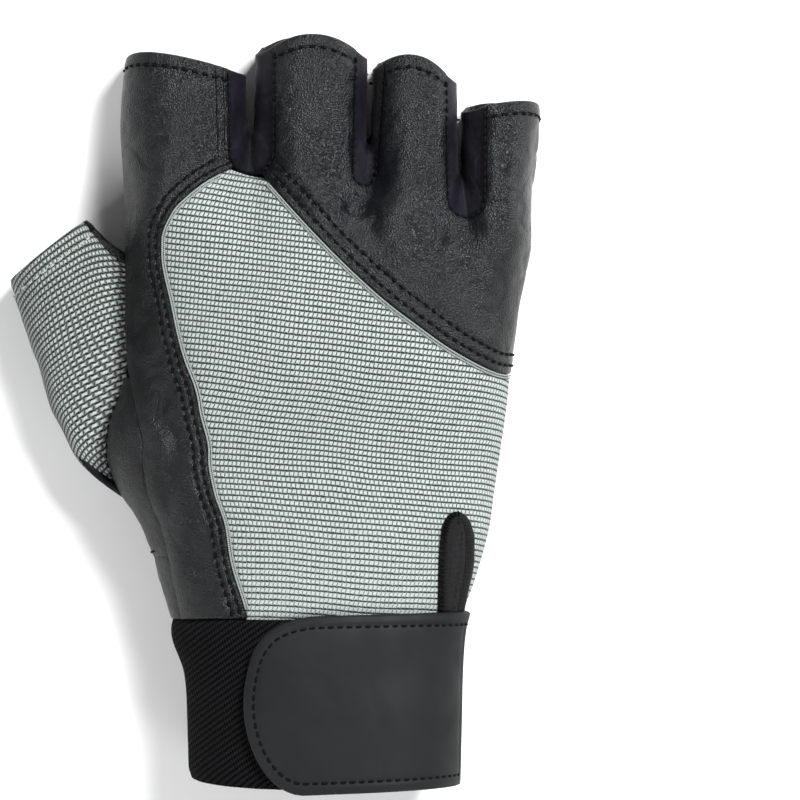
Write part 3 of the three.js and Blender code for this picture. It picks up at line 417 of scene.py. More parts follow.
def coons(bottom, top, left, right):
    """A grid of places inside four seams, given as arrays."""
    scale = np.array([TURN_LENGTH, 1])
    bottom, top, left, right = [np.asarray(side) * scale for side in (bottom, top, left, right)]
    s = np.linspace(0, 1, len(bottom))[:, None, None]
    q = np.linspace(0, 1, len(left))[None, :, None]
    across = mix(bottom[:, None], top[:, None], q)
    start = left[None] - mix(bottom[0], top[0], q[0])[None]
    end = right[None] - mix(bottom[-1], top[-1], q[0])[None]
    return (across + (1 - s) * start + s * end) / scale


# Length round the hand from its crown, for the weaves, on a grid of turns and of y in whole millimetres
ARC_TURNS = (-1.4, 3.6)
ARC_YS = (-100, 105)
ARC_STEPS = 400
arc_turns = np.linspace(*ARC_TURNS, ARC_STEPS + 1)
arc_ys = np.arange(ARC_YS[0], ARC_YS[1] + 1)
arc_moves = np.diff(skin(arc_turns[:, None], arc_ys[None]), axis=0)
arc_lengths = np.zeros((len(arc_turns), len(arc_ys)))
arc_lengths[1:] = np.cumsum(np.linalg.norm(arc_moves, axis=-1), axis=0)
arc_lengths -= arc_lengths[np.argmin(np.abs(arc_turns))].copy()


def arc(turn, y):
    i = np.clip((turn - ARC_TURNS[0]) / (ARC_TURNS[1] - ARC_TURNS[0]) * ARC_STEPS, 0, ARC_STEPS - 0.001)
    j = np.clip(y - ARC_YS[0], 0, ARC_YS[1] - ARC_YS[0] - 0.001)
    a, b = i.astype(int), j.astype(int)
    f, g = i - a, j - b
    low = mix(arc_lengths[a, b], arc_lengths[a + 1, b], f)
    high = mix(arc_lengths[a, b + 1], arc_lengths[a + 1, b + 1], f)
    return mix(low, high, g)


def crumple(points, size, seed, octaves):
    """Smooth noise from about -1 to 1 at points, with lumps of that size."""
    flat = points.reshape(-1, 3) / size + seed
    values = [noise.fractal(Vector(p), 0.9, 2.0, octaves) for p in flat]
    return np.array(values).reshape(points.shape[:-1])


# Meshes


def new_object(name, vertices, faces, materials, uvs, slots=None, values=None):
    mesh = bpy.data.meshes.new(name)
    mesh.from_pydata((np.asarray(vertices) * MM).tolist(), [], [list(map(int, face)) for face in faces])
    for material in materials:
        mesh.materials.append(material)
    if slots is not None:
        mesh.polygons.foreach_set("material_index", np.asarray(slots, int))
    mesh.polygons.foreach_set("use_smooth", [True] * len(mesh.polygons))
    layer = mesh.uv_layers.new(name="cloth")
    loops = np.empty(len(mesh.loops), int)
    mesh.loops.foreach_get("vertex_index", loops)
    layer.data.foreach_set("uv", np.asarray(uvs)[loops].ravel())
    for key, value in (values or {}).items():
        attribute = mesh.attributes.new(key, "FLOAT", "POINT")
        attribute.data.foreach_set("value", np.asarray(value, float))
    mesh.validate()
    mesh.update()
    obj = bpy.data.objects.new(name, mesh)
    bpy.context.scene.collection.objects.link(obj)
    return obj


def declare(obj, slot_name, *nodes):
    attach(obj, "root")
    if nodes:
        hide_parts(*nodes)
    return obj


def distances(spots, points):
    """Each point's distance to the nearest of some spots."""
    tree = KDTree(len(spots))
    for n, spot in enumerate(spots):
        tree.insert(spot, n)
    tree.balance()
    return np.array([tree.find(point)[2] for point in points])


class Panel:
    """A cloth panel on a surface: its points and normals, and each point's distance to the edge."""

    def __init__(self, u, v, keep=None, around=False, surface=skin, steps=(0.02, 0.6), cloth=None):
        u, v = np.asarray(u, float), np.asarray(v, float)
        self.shape = u.shape
        columns = self.shape[0] - (0 if around else 1)
        self.keep = np.ones((columns, self.shape[1] - 1), bool) if keep is None else keep
        self.points = surface(u, v)
        self.normals = normals_of(surface, u, v, *steps)
        self.cloth = stacked(*((arc(u, v), v) if cloth is None else cloth))
        self.used = np.zeros(self.shape, bool)
        i, j = np.nonzero(self.keep)
        for a, b in ((0, 0), (1, 0), (1, 1), (0, 1)):
            self.used[(i + a) % self.shape[0], j + b] = True
        self.edges = self.border()
        self.edge = np.zeros(self.shape)
        self.edge[self.used] = distances([self.points[p] for p, _ in self.edges], self.points[self.used])

    def border(self):
        n = self.shape[0]
        found = {}
        for i, j in zip(*np.nonzero(self.keep)):
            square = [(i, j), ((i + 1) % n, j), ((i + 1) % n, j + 1), (i, j + 1)]
            for p, q in zip(square, square[1:] + square[:1]):
                if (q, p) in found:
                    del found[(q, p)]
                else:
                    found[(p, q)] = True
        return list(found)

    def build(self, name, height, wall, materials, roll=0.25, values=None):
        """The shell from height above the surface down by wall, with its edges rolled."""
        outer = self.points + self.normals * height[..., None]
        inner = self.points + self.normals * (height - wall)[..., None]
        index = -np.ones(self.shape, int)
        count = int(self.used.sum())
        index[self.used] = np.arange(count)
        vertices = [outer[self.used], inner[self.used]]
        cloth = [self.cloth[self.used], self.cloth[self.used]]
        edge = [self.edge[self.used], np.zeros(count)]
        i, j = np.nonzero(self.keep)
        i2 = (i + 1) % self.shape[0]
        a, b, c, d = index[i, j], index[i2, j], index[i2, j + 1], index[i, j + 1]
        faces = list(np.stack([a, b, c, d], 1)) + list(np.stack([a, d, c, b], 1) + count)
        slots = [0] * len(i) + [len(materials) - 1] * len(i)
        # Rolled edges: three strips of faces round the rim
        rim = {}
        extra, extra_cloth = [], []
        tangents = {}
        for p, q in self.edges:
            out = np.cross(unit(self.points[q] - self.points[p]), self.normals[p])
            for corner in (p, q):
                tangents[corner] = tangents.get(corner, 0) + out
        for corner, out in tangents.items():
            out = out / max(np.linalg.norm(out), 1e-6)
            for share in (0.25, 0.75):
                point = mix(outer[corner], inner[corner], share) + out * roll
                rim[(corner, share)] = 2 * count + len(extra)
                extra.append(point)
                extra_cloth.append(self.cloth[corner])
        for p, q in self.edges:
            strips = [
                (index[p], index[q]), (rim[(p, 0.25)], rim[(q, 0.25)]),
                (rim[(p, 0.75)], rim[(q, 0.75)]), (index[p] + count, index[q] + count),
            ]
            for (p0, q0), (p1, q1) in zip(strips, strips[1:]):
                faces.append((q0, p0, p1, q1))
                slots.append(0)
        vertices = np.concatenate(vertices + [np.array(extra)])
        vertices[:, 2] = np.maximum(vertices[:, 2], CLOTH_FLOOR)
        cloth = np.concatenate(cloth + [np.array(extra_cloth)])
        carried = {"edge": np.concatenate(edge + [np.zeros(len(extra))])}
        for key, value in (values or {}).items():
            rolled = [value[corner] for corner, _ in rim]
            carried[key] = np.concatenate([value[self.used], value[self.used], rolled])
        return new_object(name, vertices, faces, materials, cloth, slots, carried)

    def puff(self, rise, fall, reach=1.2):
        """A height that sinks by fall at the edge and swells by rise away from it."""
        return rise * (1 - np.exp(-self.edge / (2 * reach))) - fall * np.exp(-(self.edge / reach) ** 2)


def split(places):
    return places[..., 0], places[..., 1]


def rings(spine, radii, aside, up, sides):
    """Round sections across a spine, as one array of points."""
    angle = np.linspace(0, 2 * math.pi, sides, endpoint=False)
    ring = np.cos(angle)[None, :, None] * aside[:, None] + np.sin(angle)[None, :, None] * up[:, None]
    return (spine[:, None] + ring * np.asarray(radii)[..., None, None]).reshape(-1, 3)


def ring_faces(count, sides, start=0):
    """Faces round count sections and over their two ends, whose points come after the sections."""
    faces = []
    for i in range(count - 1):
        for n in range(sides):
            a, b = start + i * sides + n, start + i * sides + (n + 1) % sides
            faces.append((a, a + sides, b + sides, b))
    first, end = start + count * sides, start + (count - 1) * sides
    for n in range(sides):
        m = (n + 1) % sides
        faces.append((start + n, start + m, first))
        faces.append((end + m, end + n, first + 1))
    return faces


def tube(name, centres, radius, material, normals, sides=10):
    """A round cord along centres, with rounded ends."""
    heading = unit(np.gradient(centres, axis=0))
    aside = unit(np.cross(heading, normals))
    cap = heading * radius * 0.6
    vertices = np.concatenate([
        rings(centres, np.full(len(centres), radius), aside, np.cross(aside, heading), sides),
        centres[:1] - cap[:1], centres[-1:] + cap[-1:],
    ])
    along, angle = travelled(centres), np.linspace(0, 2 * math.pi, sides, endpoint=False)
    uvs = stacked(np.repeat(along, sides), np.tile(angle * radius, len(centres)))
    uvs = np.concatenate([uvs, [[0, 0], [along[-1], 0]]])
    return new_object(name, vertices, ring_faces(len(centres), sides), [material], uvs)


# Materials


class Wire:
    """A node's output that can be reckoned with: each operation on it is a math node."""

    def __init__(self, nodes, socket):
        self.nodes, self.socket = nodes, socket

    def then(self, operation, *values):
        return self.nodes.node("ShaderNodeMath", enumerate((self, *values)), operation=operation)[0]

    def __add__(self, other):
        return self.then("ADD", other)

    def __sub__(self, other):
        return self.then("SUBTRACT", other)

    def __mul__(self, other):
        return self.then("MULTIPLY", other)

    def wave(self, pitch):
        """A sine along the value, from -1 to 1, that repeats after pitch."""
        return (self * (2 * math.pi / pitch)).then("SINE")

    def ridges(self, pitch=1.0):
        """0 to 1, with one arch in each pitch."""
        return self.wave(2 * pitch).then("ABSOLUTE")

    def ramp(self, low, high, start=0.0, end=1.0):
        inputs = {"Value": self, "From Min": low, "From Max": high, "To Min": start, "To Max": end}
        return self.nodes.node("ShaderNodeMapRange", inputs, interpolation_type="SMOOTHSTEP")[0]

    def near(self, centre, width):
        """1 where the value is at the centre, down to 0 at that width to each side."""
        return (self - centre).then("ABSOLUTE").ramp(0.0, width, 1.0, 0.0)


class Nodes:
    """Short calls for a material's nodes. A value may be a number or a wire."""

    def __init__(self, name):
        self.material = bpy.data.materials.new(name)
        self.material.use_nodes = True
        self.tree = self.material.node_tree
        self.tree.nodes.clear()
        self.output = self.tree.nodes.new("ShaderNodeOutputMaterial")

    def node(self, kind, inputs=(), **settings):
        """A node's outputs, as wires."""
        node = self.tree.nodes.new(kind)
        for key, value in settings.items():
            setattr(node, key, value)
        for key, value in dict(inputs).items():
            if isinstance(value, Wire):
                self.tree.links.new(value.socket, node.inputs[key])
            else:
                node.inputs[key].default_value = value
        return [Wire(self, socket) for socket in node.outputs]

    def colour(self, share, a, b):
        return self.node("ShaderNodeMix", {0: share, 6: a, 7: b}, data_type="RGBA")[2]

    def cloth(self):
        """The place on the cloth in millimetres, across and along."""
        uv = self.node("ShaderNodeUVMap", uv_map="cloth")[0]
        return self.node("ShaderNodeSeparateXYZ", {0: uv})[:2]

    def value(self, name):
        """A number that the mesh carries at each point."""
        return self.node("ShaderNodeAttribute", attribute_name=name)[2]

    def place(self):
        """The place in space, in millimetres."""
        coordinates = self.node("ShaderNodeTexCoord")[3]
        return self.node("ShaderNodeVectorMath", {0: coordinates, "Scale": 1000.0}, operation="SCALE")[0]

    def noise(self, vector, scale, detail=3.0, rough=0.5, distortion=0.0):
        inputs = {"Vector": vector, "Scale": scale, "Detail": detail, "Roughness": rough}
        return self.node("ShaderNodeTexNoise", {**inputs, "Distortion": distortion})[0]

    def cells(self, vector, scale):
        return self.node("ShaderNodeTexVoronoi", {"Vector": vector, "Scale": scale})[0]

    def bumps(self, *layers):
        """The normal after layers of relief, each given as its height, distance in metres and strength."""
        normal = {}
        for height, distance, strength in layers:
            inputs = {"Height": height, "Distance": distance, "Strength": strength, **normal}
            normal = {"Normal": self.node("ShaderNodeBump", inputs)[0]}
        return normal["Normal"]

    def surface(self, colour, roughness, specular=0.5, normal=None, sheen=0.0, sheen_roughness=0.5):
        inputs = {
            "Base Color": colour, "Roughness": roughness, "Specular IOR Level": specular,
            "Sheen Weight": sheen, "Sheen Roughness": sheen_roughness,
        }
        if normal is not None:
            inputs["Normal"] = normal
        shader = self.node("ShaderNodeBsdfPrincipled", inputs)[0]
        self.tree.links.new(shader.socket, self.output.inputs[0])
        return self.material


def rgb(r, g, b):
    """A colour given in the usual 0 to 255 as the linear light it stands for."""
    return tuple(((c / 255 + 0.055) / 1.055) ** 2.4 if c > 10 else c / 255 / 12.92 for c in (r, g, b)) + (1.0,)


def leather_material(name, dark, light, grain=1.0, rough=0.46, crease=1.0, specular=0.3):
    m = Nodes(name)
    place = m.place()
    fine = m.noise(place, 4.0 * grain, 2.0, 0.6)
    broad = m.noise(place, 0.06, 4.0, 0.55, 0.6)
    folds = m.noise(place, 0.17, 1.6, 0.5, 0.3)
    rows = m.value("sewn").near(1.0, 0.16).then("MAXIMUM", m.value("sewn").near(2.0, 0.16))
    rows = rows.then("MAXIMUM", m.value("hem").near(HEM_ROW, 0.5))
    colour = m.colour((broad * 0.7 + fine * 0.3).ramp(0.35, 0.7), dark, light)
    # Painted shade: the colour darkens along the stitch rows and the hem row, where the leather is sunk into grooves.
    colour = m.colour(rows * 0.25, colour, rgb(8, 8, 9))
    pores = m.cells(place, 2.6 * grain) * 0.6 + fine * 0.25
    normal = m.bumps(
        (pores, 0.00042 * crease, 0.8), (folds, 0.0014 * crease, 0.6), (rows * -1.0 + 1.0, 0.0003, 0.8)
    )
    return m.surface(colour, broad.ramp(0.3, 0.7, rough + 0.08, rough - 0.06), specular, normal)


def knit_material(name, across, along, gap_shade, light_yarn, slope=0.09, gap=0.85, columns=(0.5, 0.7)):
    """Waffle knit whose cells are across wide and along long, and whose rows fall by slope. Its first colour is painted
    shade in the gaps between its cells, and its relief paints that shade into the colour.
    """
    m = Nodes(name)
    u, v = m.cloth()
    place = m.place()
    v = v + u * v.ramp(-45.0, 15.0, slope * 0.5, slope)
    v = v + (m.noise(place, 0.03, 1.0) - 0.5) * 2.4
    u = u + (m.noise(place, 0.05, 1.0) - 0.5) * 2.0
    jitter = (m.noise(place, 1.6, 2.0) - 0.5) * 0.3
    row = v * (1 / along) + jitter
    column = u * (1 / across) + jitter - (row.then("FRACT") - 0.5) * 0.4
    stitch = column.ridges()
    # How strong the painted shade in the column gaps is: columns[0] low down, rising to columns[1] higher up.
    low = (v + m.noise(place, 0.06, 2.0) * 20.0).ramp(-45.0, 15.0, *columns)
    row_gap = row.ridges().ramp(0.1, gap, 1.0, 0.0) * (stitch * 0.65 + 0.45)
    column_gap = stitch.ramp(0.02, gap, 1.0, 0.0) * low
    # Painted shading: a diagonal wave that makes each cell's yarn lighter and darker. It also goes into the bump.
    yarn = (u + v * -0.6).wave(0.37) * 0.09 + 0.91
    relief = (row_gap.then("MAXIMUM", column_gap) * -1.0 + 1.0) * yarn
    fuzz = m.noise(place, 3.5, 3.0, 0.7)
    # The colour follows the relief: painted shade in the gaps between the rows and columns of cells.
    colour = m.colour((relief * (fuzz * 0.7 + 0.65)).ramp(0.1, 0.95), gap_shade, light_yarn)
    normal = m.bumps((relief, 0.0006, 0.9), (fuzz, 0.00012, 0.6))
    return m.surface(colour, 0.85, 0.25, normal, 0.08, 0.5)


def suede_material(name="suede", lift=1.0):
    m = Nodes(name)
    place = m.place()
    nap = m.noise(place, 1.6, 6.0, 0.75)
    specks = m.cells(place, 1.1)
    broad = m.noise(place, 0.06, 4.0, 0.6, 0.8)
    near_rows = [m.value("hem").near(distance, 0.5) for distance in SUEDE_HEM_ROWS]
    rows = near_rows[0].then("MAXIMUM", near_rows[1])
    dark, light = rgb(15 * lift, 14 * lift, 13 * lift), rgb(42 * lift, 39 * lift, 35 * lift)
    colour = m.colour((nap * 0.75 + broad * 0.25).ramp(0.36, 0.72), dark, light)
    colour = m.colour(specks.ramp(0.2, 0.05, 0.0, 0.3), colour, rgb(72, 68, 60))
    # Painted shade in the stitch grooves: the colour darkens along the hem's two stitch rows.
    colour = m.colour(rows * 0.3, colour, rgb(8, 8, 8))
    normal = m.bumps((nap + specks * 0.4, 0.0003, 0.8), (rows * -1.0 + 1.0, 0.0003, 0.8))
    return m.surface(colour, 0.95, 0.15, normal, 0.04, 0.6)


def stretch_material(name="stretch_satin"):
    m = Nodes(name)
    u, v = m.cloth()
    weave = (u + v * 0.6).wave(0.38) * (u - v * 0.6).wave(0.38)
    broad = m.noise(m.place(), 0.15, 3.0, 0.55, 0.5)
    colour = m.colour(broad.ramp(0.3, 0.7), rgb(5, 4, 10), rgb(17, 15, 28))
    return m.surface(colour, 0.5, 0.18, m.bumps((weave, 0.00005, 0.7), (broad, 0.0012, 0.6)), 0.03, 0.35)


def elastic_material():
    m = Nodes("ribbed_elastic")
    u, v = m.cloth()
    place = m.place()
    rib = (v + u * -0.72 + (m.noise(place, 0.5, 2.0) - 0.5) * 0.25).ridges(1.6)
    relief = rib.then("POWER", 0.6) * ((u + v * 0.3).wave(0.7) * 0.18 + 0.82)
    fuzz = m.noise(place, 3.0, 3.0, 0.7)
    # Painted shade and highlight: the colour follows the relief, dark in the grooves between the ribs and lighter on
    # their crests.
    colour = m.colour((relief * (fuzz * 1.2 + 0.4)).ramp(0.38, 0.9), rgb(0, 0, 0), rgb(24, 24, 26))
    return m.surface(colour, 0.95, 0.04, m.bumps((relief, 0.0006, 0.9), (fuzz, 0.00012, 0.5)), 0.01, 0.5)


def tape_material(name, dark, light, pitch):
    """Close woven tape or mesh."""
    m = Nodes(name)
    u, v = m.cloth()
    weave = (u + v).wave(pitch) * (u - v).wave(pitch) * 0.5 + 0.5
    tint = weave * m.noise(m.place(), 1.8, 3.0, 0.7) * 2.0
    return m.surface(m.colour(tint.ramp(0.2, 0.9), dark, light), 0.85, 0.15, m.bumps((tint, 0.0004, 0.9)))


def thread_material(name, colour, rough=0.6):
    m = Nodes(name)
    twist = m.cloth()[0].wave(0.5)
    tint = m.colour(twist.ramp(-1.0, 1.0), (*[c * 0.6 for c in colour[:3]], 1), colour)
    return m.surface(tint, rough, 0.12, m.bumps((twist, 0.00006, 0.8)))


LEATHER = leather_material("leather", rgb(2, 4, 6), rgb(8, 12, 16), 1.0, 0.32, 1.0, 0.3)
STRAP_LEATHER = leather_material("strap_leather", rgb(20, 22, 23), rgb(26, 28, 29), 1.6, 0.6, 0.04, 0.17)
# Each knit's first colour is painted shade in the gaps between its cells. The thumb's copy is darker, with wider gaps.
KNIT = knit_material("waffle_knit", 1.08, 1.46, rgb(9, 12, 11), rgb(177, 187, 184), 0.12, 0.74)
THUMB_KNIT = knit_material(
    "thumb_waffle_knit", 1.08, 1.4, rgb(1, 2, 2), rgb(170, 179, 175), 0.0, 1.1, (0.72, 0.72)
)
SUEDE = suede_material()
PAD_SUEDE = suede_material("pad_suede", 1.12)
STRETCH = stretch_material()
ELASTIC = elastic_material()
PIPING = thread_material("piping_cord", rgb(150, 158, 155))
DARK_THREAD = thread_material("dark_thread", rgb(2, 2, 3), 0.7)
STRAP_THREAD = thread_material("strap_thread", rgb(3, 3, 3), 0.7)
EDGE_THREAD = thread_material("edge_thread", rgb(4, 4, 7), 0.6)
PALE_THREAD = thread_material("pale_thread", rgb(170, 178, 174), 0.6)
BINDING = tape_material("binding_tape", rgb(5, 5, 6), rgb(40, 40, 42), 0.7)
GUSSET = tape_material("gusset_mesh", rgb(8, 8, 9), rgb(56, 56, 58), 0.6)
LINING = stretch_material("lining")

SIDE_END = (ulnar_turn(DIAGONAL_END), along_y(DIAGONAL_END))
FOLD_END = 0.14
thumb_side_seam = seam([*on_skin(THUMB_SIDE_SEAM, on_back), on_back(*web_point(0, "back", APEX[0]))])
diagonal_seam = seam([
    on_back(*web_point(0, "back", APEX[1])), *on_skin(DIAGONAL_SEAM, on_back),
    (1, along_y(DIAGONAL_END)), SIDE_END,
])
pad_arc = seam(on_skin(PAD_ARC, on_palm))
thenar_seam = seam([
    *on_skin(THENAR_EDGE, on_palm), (3, along_y(0.135)), (4 + fold_turn(FOLD_END), along_y(FOLD_END)),
])
outer_edge = seam(on_skin(OUTER_PAD_EDGE, on_palm))
suede_edge = on_skin(SUEDE_EDGE, on_palm)
SUEDE_START = (ulnar_turn(0.25), along_y(0.26))


def two_part(low, root, high, q):
    """From low to root as q goes from 0 to 1, then on to high as it goes to 2."""
    return np.where(q < 1, mix(low, root, q), mix(root, high, q - 1))


def ulnar(y, distance):
    return sideways(ulnar_turn(share_of(y)), y, distance)


def palm_left(y, distance):
    return sideways(palm_left_turn(share_of(y)), y, distance)


def fold(y, distance):
    return sideways(fold_turn(share_of(y)), y, distance)


def index_leather():
    low, arc_rows, high = 18 * LEATHER_FINE, 4 * LEATHER_FINE, 4 * LEATHER_FINE
    s = even_shares(7 * LEATHER_FINE)[:, None, None]
    q = even_shares(low)
    shoulder = along_y(WEBS[0]["back"][2]) - 6
    y = mix(CUFF_SEAM + SEAM_HALF, shoulder, q)
    left, right = fold(y, SEAM_HALF), beside(thumb_side_seam, mix(0.004, 0.99, q), SEAM_HALF)
    q2 = even_shares(arc_rows + high)[1:]
    top_left = hem_y(0, 0.02)
    travel = np.concatenate([
        mix(APEX[0] - 0.015, -ARC_SHARE, even_shares(arc_rows)[1:]),
        mix(-ARC_SHARE, -1, even_shares(high)[1:]),
    ])
    left = np.concatenate([left, fold(mix(shoulder, top_left, q2), SEAM_HALF)])
    right = np.concatenate([right, on_back(*web_point(0, "back", travel))])
    places = mix(left[None], right[None], s)
    across = s[:, :, 0]
    bump = hem_y(0, across * 0.9) - mix(top_left, hem_y(0, 0.9), across)
    rise = np.concatenate([0 * q, q2])[None] ** 2
    places[..., 1] += bump * rise
    return split(places)


def fingers_grid(level, order, finger_cells, gap_cells, lower, upper, bottom, first, last):
    """A panel that ends in finger stalls, as its turns, its y and its kept cells.

    Its columns are spans: a finger's, ("finger", finger, cells), or a web's between two, ("web", web, cells).
    """
    place = on_back if level == "back" else on_palm
    step = order[1] - order[0]
    spans = []
    for n, finger in enumerate(order):
        spans.append(("finger", finger, finger_cells[n]))
        if n < len(order) - 1:
            spans.append(("web", min(finger, finger + step), gap_cells))
    starts = np.concatenate([[0], np.cumsum([cells for *_, cells in spans])])
    columns = starts[-1]

    def edge(n, ahead, q):
        if not ahead and n == 0:
            return first(1 + q)
        if ahead and n == len(spans) - 1:
            return last(1 + q)
        web = spans[n + 1 if ahead else n - 1][1]
        travel = mix(ARC_SHARE, 1, q)
        return place(*web_point(web, level, -travel if web == spans[n][1] else travel))

    def finger_grid(n, q):
        f = even_shares(spans[n][2])[:, None]
        length, *_, hem = FINGERS[spans[n][1]]
        span_places = mix(edge(n, False, q)[None], edge(n, True, q)[None], f[..., None])
        span_places[..., 1] += (hem[1] - (hem[0] + hem[2]) / 2) * length * 4 * f * (1 - f) * q[None] ** 2
        return span_places

    top = np.zeros((columns + 1, 2))
    for n, (kind, which, cells) in enumerate(spans):
        if kind == "finger":
            row = finger_grid(n, np.zeros(1))[:, 0]
        else:
            row = place(*web_point(which, level, step * mix(-ARC_SHARE, ARC_SHARE, even_shares(cells))))
        top[starts[n]:starts[n + 1] + 1] = row
    q = np.minimum(even_shares(lower), 0.99999)
    base = bottom(even_shares(columns))
    base[0], base[-1] = first(np.zeros(1))[0], last(np.zeros(1))[0]
    places = np.zeros((columns + 1, lower + upper + 1, 2))
    places[:, :lower + 1] = coons(base, top, first(q), last(q))
    keep = np.ones((columns, lower + upper), bool)
    places[:, lower:] = places[:, lower:lower + 1]
    for n, (kind, *_) in enumerate(spans):
        if kind == "finger":
            places[starts[n]:starts[n + 1] + 1, lower:] = finger_grid(n, even_shares(upper))
        else:
            keep[starts[n]:starts[n + 1], lower:] = False
    return *split(places), keep


def knuckle_leather():
    root = along_y(WEBS[2]["back"][2])
    end = along_y(DIAGONAL_END)

    def last(q):
        return ulnar(two_part(end + SEAM_HALF, root, hem_y(3, 1), q), -SEAM_HALF)

    def first(q):
        return on_back(*web_point(0, "back", two_part(APEX[1] + 0.015, ARC_SHARE, 1, q)))

    fine = LEATHER_FINE
    return fingers_grid("back", [1, 2, 3], [4 * fine, 4 * fine, 6 * fine], 4 * fine, 6 * fine, 4 * fine,
                        lambda s: beside(diagonal_seam, s, SEAM_HALF), first, last)


def palm_suede():
    edge = seam([SUEDE_START, *suede_edge[::-1]])
    low, start = edge(np.array([0, 1]))[:, 1] + SEAM_HALF
    root, neck = along_y(WEBS[2]["palm"][2]), along_y(WEBS[0]["palm"][2])

    def first(q):
        return ulnar(two_part(low, root, hem_y(3, 1), q), SEAM_HALF)

    def last(q):
        return palm_left(two_part(start, neck, hem_y(0, 0.02), q), -SEAM_HALF)

    fine = SUEDE_FINE
    return fingers_grid("palm", [3, 2, 1, 0], [4 * fine] * 3 + [5 * fine], 4 * fine, 9 * fine, 4 * fine,
                        lambda s: beside(edge, s, SEAM_HALF), first, last)


def back_knit():
    columns, side, low, high = np.array([11, 3, 9, 9]) * LEATHER_FINE
    corner = passing(diagonal_seam, 1)
    left = beside(thumb_side_seam, mix(0.004, 0.99, even_shares(low + high)), -SEAM_HALF)
    floor = CUFF_SEAM + SEAM_HALF
    left[0, 1] = floor
    top = beside(diagonal_seam, np.array([corner]), -SEAM_HALF)[0, 1]
    right_low = stacked(np.ones(low + 1), mix(floor, top, even_shares(low)))
    s_high = mix(corner, 0.02, even_shares(high)[1:])
    right = np.concatenate([right_low, beside(diagonal_seam, s_high, -SEAM_HALF)])
    places = np.zeros((columns + side + 1, low + high + 1, 2))
    places[:columns + 1] = mix(left[None], right[None], even_shares(columns)[:, None, None])
    for n in range(1, side + 1):
        share = n / side
        roof = beside(diagonal_seam, np.array([mix(corner, 0.999, share)]), -SEAM_HALF)[0, 1]
        y = mix(floor, roof, even_shares(low))
        places[columns + n, :low + 1, 0] = mix(1, ulnar(y, -SEAM_HALF)[:, 0], share)
        places[columns + n, :low + 1, 1] = y
        places[columns + n, low + 1:] = places[columns + n, low]
    keep = np.ones((columns + side, low + high), bool)
    keep[columns:, low:] = False
    return *split(places), keep


def side_wall(k):
    """The wall round a web: travel goes from one finger's hem to the other's, down from the back to the palm."""
    def surface(travel, down):
        travel, down = np.broadcast_arrays(travel, down)
        swell = np.sin(np.clip(down, 0, 1) * math.pi)
        travel = travel * (1 - WALL_TUCK * swell)
        (bx, by), (px, py), (mx, my) = [web_point(k, level, travel) for level in ("back", "palm", "mid")]
        top = stacked(bx, by, back_z(bx, by) - LEATHER_WALL * WALL_SEAT)
        under = stacked(px, py, palm_z(px, py) + SUEDE_WALL * WALL_SEAT)
        point = mix(top, under, down[..., None])
        point[..., 0] += (mx - (bx + px) / 2) * swell
        point[..., 1] += (my - (by + py) / 2) * swell
        return point

    return surface


def thumb_surface(angle, down):
    """The thumb's stall: angle is in half-turns round it, and down goes from its hem to its root."""
    angle, down = np.broadcast_arrays(np.asarray(angle, float), np.asarray(down, float))
    cosine, sine = np.cos(angle * math.pi), np.sin(angle * math.pi)
    across = np.array([math.cos(THUMB_LEAN), math.sin(THUMB_LEAN), 0])
    hem = np.array([-THUMB_REACH, 0.63 * THUMB_REACH, THUMB_THICKNESS / 2 + 1])
    hem = hem + across * (THUMB_WIDTH / 2 * cosine)[..., None]
    hem[..., 2] += THUMB_THICKNESS / 2 * sine
    outside = 0.5 - 0.5 * cosine
    y = mix(along_y(THUMB_OPENING[1]), along_y(THUMB_OPENING[0]) - THUMB_ROOT_DROP, outside)
    below = sine < 0
    under = np.maximum(0, -sine)
    turn = np.where(below, np.minimum(palm_left(y, 0.05)[..., 0], 2.99 - 0.3 * under), 3.0)
    root = skin(turn, y)
    root[..., 2] -= np.where(below, 0, mix(0.3, 0.8, outside))
    chord = np.linalg.norm(root - hem, axis=-1)[..., None]
    # Both ends' headings, each from the crotch's to the outer side's
    leave, arrive = [
        stacked(mix(crotch[0], far[0], outside), mix(crotch[1], far[1], outside), 0 * outside) * chord
        for crotch, far in (((0.7, -0.7), (0.3, -0.95)), ((0.93, -0.36), (0.63, -0.77)))
    ]
    v = down[..., None]
    root[..., 0] += smooth(down, 0.75, 1) * outside ** 2 * 2.2 + smooth(down, 0.3, 1) * under ** 0.7 * 4.5
    bulge = THUMB_BULGE * np.sin(math.pi * np.clip(down, 0, 1) ** 2) * outside ** 2
    bulge = bulge * np.clip(1 - 1.6 * under, 0, 1)
    ease = 3 * v ** 2 - 2 * v ** 3
    point = hem * (1 - ease) + root * ease + leave * (v ** 3 - 2 * v ** 2 + v) + arrive * (v ** 3 - v ** 2)
    return point - bulge[..., None] * np.array([0.7, 0.7, 0])


def heel_leather():
    suede_seam = seam([SUEDE_START, *suede_edge[3:][::-1]])
    corner = passing(thenar_seam, 3)
    fine = SUEDE_FINE
    floor = CUFF_SEAM + SEAM_HALF
    top = np.concatenate([
        beside(suede_seam, mix(0.01, 0.92, even_shares(7 * fine)[:-1]), -SEAM_HALF),
        beside(thenar_seam, mix(0.02, corner, even_shares(7 * fine)[:-1]), -SEAM_HALF),
        beside(thenar_seam, mix(corner, 0.995, even_shares(3 * fine)), -SEAM_HALF),
    ])
    s, q = even_shares(17 * fine)[:, None], even_shares(5 * fine)[None]
    y = mix(floor, top[:, 1][:, None], q)
    first, last = ulnar(y, SEAM_HALF)[..., 0], 4 + fold(y, -SEAM_HALF)[..., 0]
    turn = mix(mix(first, last, s), top[:, 0][:, None], q)
    turn[0], turn[-1] = first[0], last[-1]
    return turn, y


